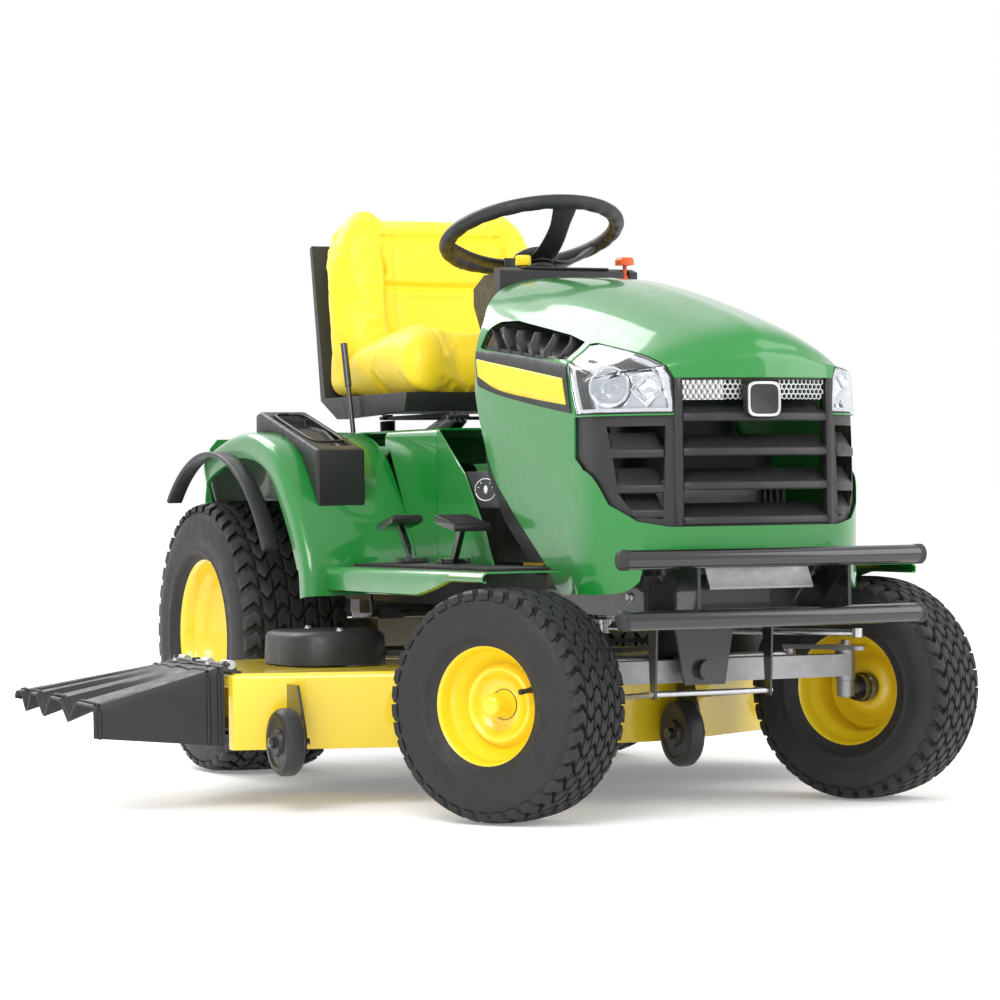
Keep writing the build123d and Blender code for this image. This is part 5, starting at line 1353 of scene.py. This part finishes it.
# ---- Stage ---------------------------------------------------------------------------------------
def build_stage():
    """Pale floor, soft light from the right and above, and the camera."""
    scene = bpy.context.scene
    data = bpy.data.meshes.new("floor")
    data.from_pydata([(-900, -900, 0), (900, -900, 0), (900, 900, 0), (-900, 900, 0)], [], [(0, 1, 2, 3)])
    floor = bpy.data.objects.new("floor", data)
    scene.collection.objects.link(floor)
    pale = Finish("floor_white")
    pale.colour((0.86, 0.86, 0.86), pale.noise(1.0), 0.02)
    data.materials.append(pale.constant(Roughness=0.9, Specular_IOR_Level=0.1, Emission_Color=(1, 1, 1, 1),
                                        Emission_Strength=0.22))
    world = bpy.data.worlds.new("studio")
    scene.world = world
    world.use_nodes = True
    world.node_tree.nodes["Background"].inputs["Color"].default_value = (1, 1, 1, 1)
    world.node_tree.nodes["Background"].inputs["Strength"].default_value = 1.0
    for name, place, size, power in (("key", (-3.2, -3.6, 4.2), 3.0, 210), ("fill", (3.6, -3.2, 2.6), 3.5, 90),
                                     ("back", (-1.0, 3.8, 3.8), 3.0, 120)):
        lamp = bpy.data.lights.new(name, "AREA")
        lamp.energy, lamp.size = power, size
        holder = bpy.data.objects.new(name, lamp)
        scene.collection.objects.link(holder)
        holder.location = place
        holder.rotation_euler = (Vector((0, 0, 0.5)) - Vector(place)).to_track_quat("-Z", "Y").to_euler()
    view = bpy.data.cameras.new("camera")
    view.lens, view.sensor_width = 121.2, 36.0
    holder = bpy.data.objects.new("camera", view)
    scene.collection.objects.link(holder)
    turn = Matrix.Rotation(radians(-24.53), 4, "Z") @ Matrix.Rotation(radians(89.84), 4, "X")
    holder.matrix_world = Matrix.Translation((-2.60918, -5.90360, 0.56993)) @ turn @ Matrix.Rotation(radians(-0.72), 4, "Z")
    scene.camera = holder
    scene.view_settings.view_transform = "Standard"


# ---- Add-on --------------------------------------------------------------------------------------
class MOWER_OT_finishes(Operator):
    """Make every finish and dress the pieces that keep their own shape"""
    bl_idname = "mower.finishes"
    bl_label = "Finishes"

    def execute(self, context):
        FINISHES.update(make_finishes(context.scene.mower_paint))
        dress_plain()
        return {"FINISHED"}


class MOWER_OT_hood(Operator):
    """Build the hood, its grille, vents, stripes and headlamps"""
    bl_idname = "mower.hood"
    bl_label = "Hood"

    def execute(self, context):
        build_hood(context.scene.mower_hood)
        build_lamps()
        return {"FINISHED"}


class MOWER_OT_wheels(Operator):
    """Build the tyres, rims and deck wheels"""
    bl_idname = "mower.wheels"
    bl_label = "Wheels"

    def execute(self, context):
        for suffix in WHEELS:
            build_tyre(suffix, context.scene.mower_wheels)
            build_rim(suffix)
        build_gauge_wheels()
        return {"FINISHED"}


class MOWER_OT_fenders(Operator):
    """Build the fenders, foot rests, tunnel and side consoles"""
    bl_idname = "mower.fenders"
    bl_label = "Fenders"

    def execute(self, context):
        build_fender()
        build_consoles()
        build_pedals()
        return {"FINISHED"}


class MOWER_OT_seat(Operator):
    """Build the padded seat on its shell and springs"""
    bl_idname = "mower.seat"
    bl_label = "Seat"

    def execute(self, context):
        build_seat(context.scene.mower_seat)
        return {"FINISHED"}


class MOWER_OT_controls(Operator):
    """Build the steering wheel and the dash"""
    bl_idname = "mower.controls"
    bl_label = "Controls"

    def execute(self, context):
        build_steering_wheel()
        build_dash()
        return {"FINISHED"}


class MOWER_OT_deck(Operator):
    """Build the cutting deck's covers and the discharge chute"""
    bl_idname = "mower.deck"
    bl_label = "Deck"

    def execute(self, context):
        build_deck()
        build_chute()
        return {"FINISHED"}


class MOWER_OT_chassis(Operator):
    """Build the bumper and the bolts on the frame"""
    bl_idname = "mower.chassis"
    bl_label = "Chassis"

    def execute(self, context):
        build_bumper()
        build_fittings()
        return {"FINISHED"}


class MOWER_OT_stage(Operator):
    """Set the floor, the lights and the camera"""
    bl_idname = "mower.stage"
    bl_label = "Stage"

    def execute(self, context):
        build_stage()
        return {"FINISHED"}


class MOWER_PT_panel(Panel):
    """Settings of the mower and the buttons that build it"""
    bl_idname = "MOWER_PT_panel"
    bl_label = "Mower"
    bl_space_type = "VIEW_3D"
    bl_region_type = "UI"
    bl_category = "Mower"

    def draw(self, context):
        for group in (context.scene.mower_paint, context.scene.mower_hood, context.scene.mower_wheels,
                      context.scene.mower_seat):
            box = self.layout.box()
            for name in group.__annotations__:
                box.prop(group, name)
        for maker in MAKERS:
            self.layout.operator(maker.bl_idname)


GROUPS = {"mower_paint": PaintSettings, "mower_hood": HoodSettings, "mower_wheels": WheelSettings,
          "mower_seat": SeatSettings}
MAKERS = (MOWER_OT_finishes, MOWER_OT_hood, MOWER_OT_wheels, MOWER_OT_fenders, MOWER_OT_seat, MOWER_OT_controls,
          MOWER_OT_deck, MOWER_OT_chassis, MOWER_OT_stage)


def register():
    for cls in (*GROUPS.values(), *MAKERS, MOWER_PT_panel):
        bpy.utils.register_class(cls)
    for name, cls in GROUPS.items():
        setattr(bpy.types.Scene, name, PointerProperty(type=cls))


def unregister():
    for name in GROUPS:
        delattr(bpy.types.Scene, name)
    for cls in (MOWER_PT_panel, *reversed(MAKERS), *GROUPS.values()):
        bpy.utils.unregister_class(cls)


def main():
    register()
    for maker in MAKERS:
        group, name = maker.bl_idname.split(".")
        getattr(getattr(bpy.ops, group), name)()


if __name__ == "__main__":
    main()
